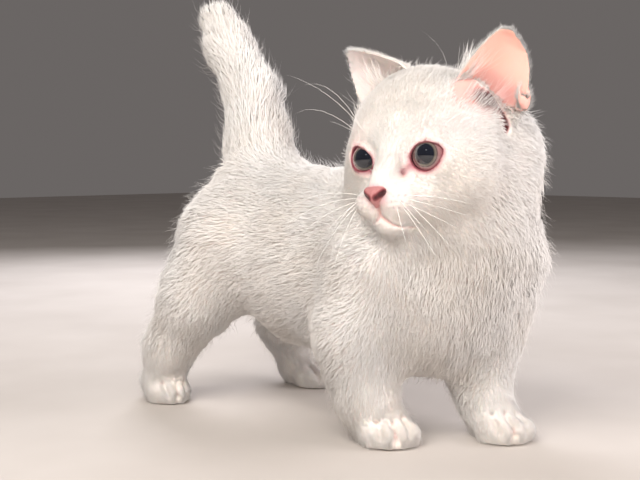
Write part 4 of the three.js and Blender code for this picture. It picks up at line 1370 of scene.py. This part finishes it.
def share_of(nodes, links, value, most):
    """The value as a share of most."""
    share = nodes.new("ShaderNodeMapRange")
    share.inputs["From Max"].default_value = most
    links.new(value, share.inputs["Value"])
    return share.outputs["Result"]


def multiply(nodes, links, one, other):
    mix = nodes.new("ShaderNodeMix")
    mix.data_type = "RGBA"
    mix.blend_type = "MULTIPLY"
    mix.inputs["Factor"].default_value = 1
    links.new(one, mix.inputs["A"])
    links.new(other, mix.inputs["B"])
    return mix.outputs["Result"]


def bump_of(nodes, links, height, distance, strength, shader):
    bump = nodes.new("ShaderNodeBump")
    bump.inputs["Distance"].default_value = distance
    bump.inputs["Strength"].default_value = strength
    links.new(height, bump.inputs["Height"])
    links.new(bump.outputs["Normal"], shader.inputs["Normal"])


def coat_colour(nodes, links):
    """Tint times slow patches of cream: what skin and coat share."""
    cream = ramp_of(nodes, links, noise_of(nodes, links, 26), [(0.35, (1, 0.965, 0.93)), (0.7, (1, 1, 1))])
    return multiply(nodes, links, attribute_of(nodes, "tint", "Color"), cream)


skin_material, nodes, links, shader = material(
    "skin", Roughness=0.55, Subsurface_Weight=0.12, Subsurface_Scale=0.002
)
links.new(coat_colour(nodes, links), shader.inputs["Base Color"])
bump_of(nodes, links, noise_of(nodes, links, 1600), 0.0002, 0.4, shader)

hair_material, nodes, links, shader = material(
    "white hair", Roughness=0.7, Subsurface_Weight=0.35, Subsurface_Scale=0.0015,
    Subsurface_Radius=(1, 0.97, 0.94), Specular_IOR_Level=0.25,
)
# painted shade: the hair is darker towards its root, where the coat shades itself
painted_root_shade = ramp_of(nodes, links, attribute_of(nodes, "along"), [
    (0.0, (0.90, 0.86, 0.83)), (0.35, (0.97, 0.95, 0.93)), (0.8, (1, 1, 1)),
])
links.new(multiply(nodes, links, coat_colour(nodes, links), painted_root_shade), shader.inputs["Base Color"])

eye_material, nodes, links, shader = material("wet eye", Roughness=0.06, Coat_Weight=1.0, Coat_Roughness=0.02)
rings = ramp_of(nodes, links, share_of(nodes, links, attribute_of(nodes, "gaze"), 90), [
    (0.0, (0.004, 0.005, 0.010)), (0.335, (0.005, 0.007, 0.014)), (0.355, (0.05, 0.045, 0.04)),
    (0.38, (0.115, 0.10, 0.08)), (0.43, (0.14, 0.11, 0.10)), (0.455, (0.07, 0.04, 0.04)),
    (0.49, (0.26, 0.15, 0.15)), (0.60, (0.36, 0.17, 0.18)), (1.0, (0.3, 0.1, 0.12)),
])
links.new(rings, shader.inputs["Base Color"])

lid_material, nodes, links, shader = material("lid rim", Roughness=0.28, Coat_Weight=0.4)
redness = [(0.3, (0.13, 0.02, 0.03)), (0.7, (0.26, 0.07, 0.09))]
flush = ramp_of(nodes, links, noise_of(nodes, links, 260), redness)
links.new(flush, shader.inputs["Base Color"])

nose_material, nodes, links, shader = material(
    "nose leather", Roughness=0.42, Coat_Weight=0.25, Coat_Roughness=0.3
)
# painted shade: near black in the nostrils, lighter away from them
depth = ramp_of(nodes, links, share_of(nodes, links, attribute_of(nodes, "slit"), 4), [
    (0.26, (0.05, 0.005, 0.008)), (0.42, (0.24, 0.05, 0.06)), (0.6, (0.50, 0.22, 0.22)),
])
mottle = ramp_of(nodes, links, noise_of(nodes, links, 700), [(0.3, (0.86, 0.80, 0.80)), (0.7, (1, 1, 1))])
links.new(multiply(nodes, links, depth, mottle), shader.inputs["Base Color"])
pebbles = texture_of(nodes, links, "ShaderNodeTexVoronoi", 1900)
bump_of(nodes, links, pebbles.outputs["Distance"], 0.0003, 0.6, shader)

whisker_material, nodes, links, shader = material("whisker", Roughness=0.35)
paling = [(0.0, (0.85, 0.80, 0.76)), (1.0, (0.98, 0.97, 0.95))]
links.new(ramp_of(nodes, links, attribute_of(nodes, "along"), paling), shader.inputs["Base Color"])


def paint(thing, made):
    thing.data.materials.clear()
    thing.data.materials.append(made)


for things, made in (
    ([skin], skin_material), (coat + ear_hair_pieces, hair_material), (eyes, eye_material),
    (rims, lid_material), ([nose], nose_material), (whisker_pieces, whisker_material),
):
    for thing in things:
        paint(thing, made)
print("materials", len(bpy.data.materials))

# %% [markdown]
# Every piece rides on the body, and the nodes of the frame that the pieces stand for are hidden.

# %% Tie the pieces to the frame
for piece in [skin, nose, *coat, *ear_hair_pieces, *eyes, *rims, *whisker_pieces]:
    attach(piece, "root")
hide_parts(*FLESH, "ear_right", "ear_left")
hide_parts("nose")
for side, eye, rim in zip(SIDES, eyes, rims):
    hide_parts(f"eye_{side}")
    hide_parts(f"lids_{side}")
print("pieces tied")

# %% [markdown]
# A pale floor and a soft key from the upper left, as from a big window. A broad light and a low one in front
# and a fill from the right keep the shadows soft, and a slightly cool light from behind draws the edge of the
# coat. Of the lights, the eyes mirror only the small glint.

# %% Stage and light
FLOOR_SIDE = 6.0
bpy.ops.mesh.primitive_plane_add(size=FLOOR_SIDE, location=(0, 0, 0))
floor = bpy.context.object
floor.name = "floor"
floor_material, nodes, links, shader = material("pale floor", Roughness=0.9)
patches = [(0.3, (0.50, 0.46, 0.43)), (0.7, (0.56, 0.52, 0.49))]
links.new(ramp_of(nodes, links, noise_of(nodes, links, 9), patches), shader.inputs["Base Color"])
paint(floor, floor_material)

world = bpy.data.worlds.new("studio")
bpy.context.scene.world = world
world.use_nodes = True
world.node_tree.nodes["Background"].inputs["Color"].default_value = (0.17, 0.155, 0.15, 1)
world.node_tree.nodes["Background"].inputs["Strength"].default_value = 0.85

MIDDLE = (0, -0.02, 0.1)
LIGHTS = {  # place, target, size in metres, power in watts, colour
    "key": ((-0.75, -0.15, 0.75), MIDDLE, 0.7, 12, (1.0, 0.955, 0.90)),
    "front": ((-0.9, -0.9, 0.35), MIDDLE, 1.2, 7.5, (1.0, 0.955, 0.90)),
    "fill": ((0.55, -0.75, 0.45), MIDDLE, 0.8, 8.5, (0.99, 0.94, 0.94)),
    "low": ((-0.35, -0.85, 0.10), (0, 0, 0.07), 0.7, 3.5, (1.0, 0.93, 0.86)),
    "back": ((0.45, 0.65, 0.6), MIDDLE, 0.5, 8, (0.97, 0.96, 1.0)),
    "glint": ((-0.62, -0.30, 0.62), MIDDLE, 0.08, 0.12, (0.95, 0.97, 1.0)),
}
for name, (place, target, size, power, colour) in LIGHTS.items():
    data = bpy.data.lights.new(name, "AREA")
    data.size, data.energy, data.color = size, power, colour
    lamp = link(bpy.data.objects.new(name, data))
    lamp.location = place
    lamp.rotation_euler = (Vector(target) - Vector(place)).to_track_quat("-Z", "Y").to_euler()
    lamp.visible_glossy = name == "glint"
bpy.context.scene.view_settings.view_transform = "Standard"
print("lights", len(bpy.data.lights))
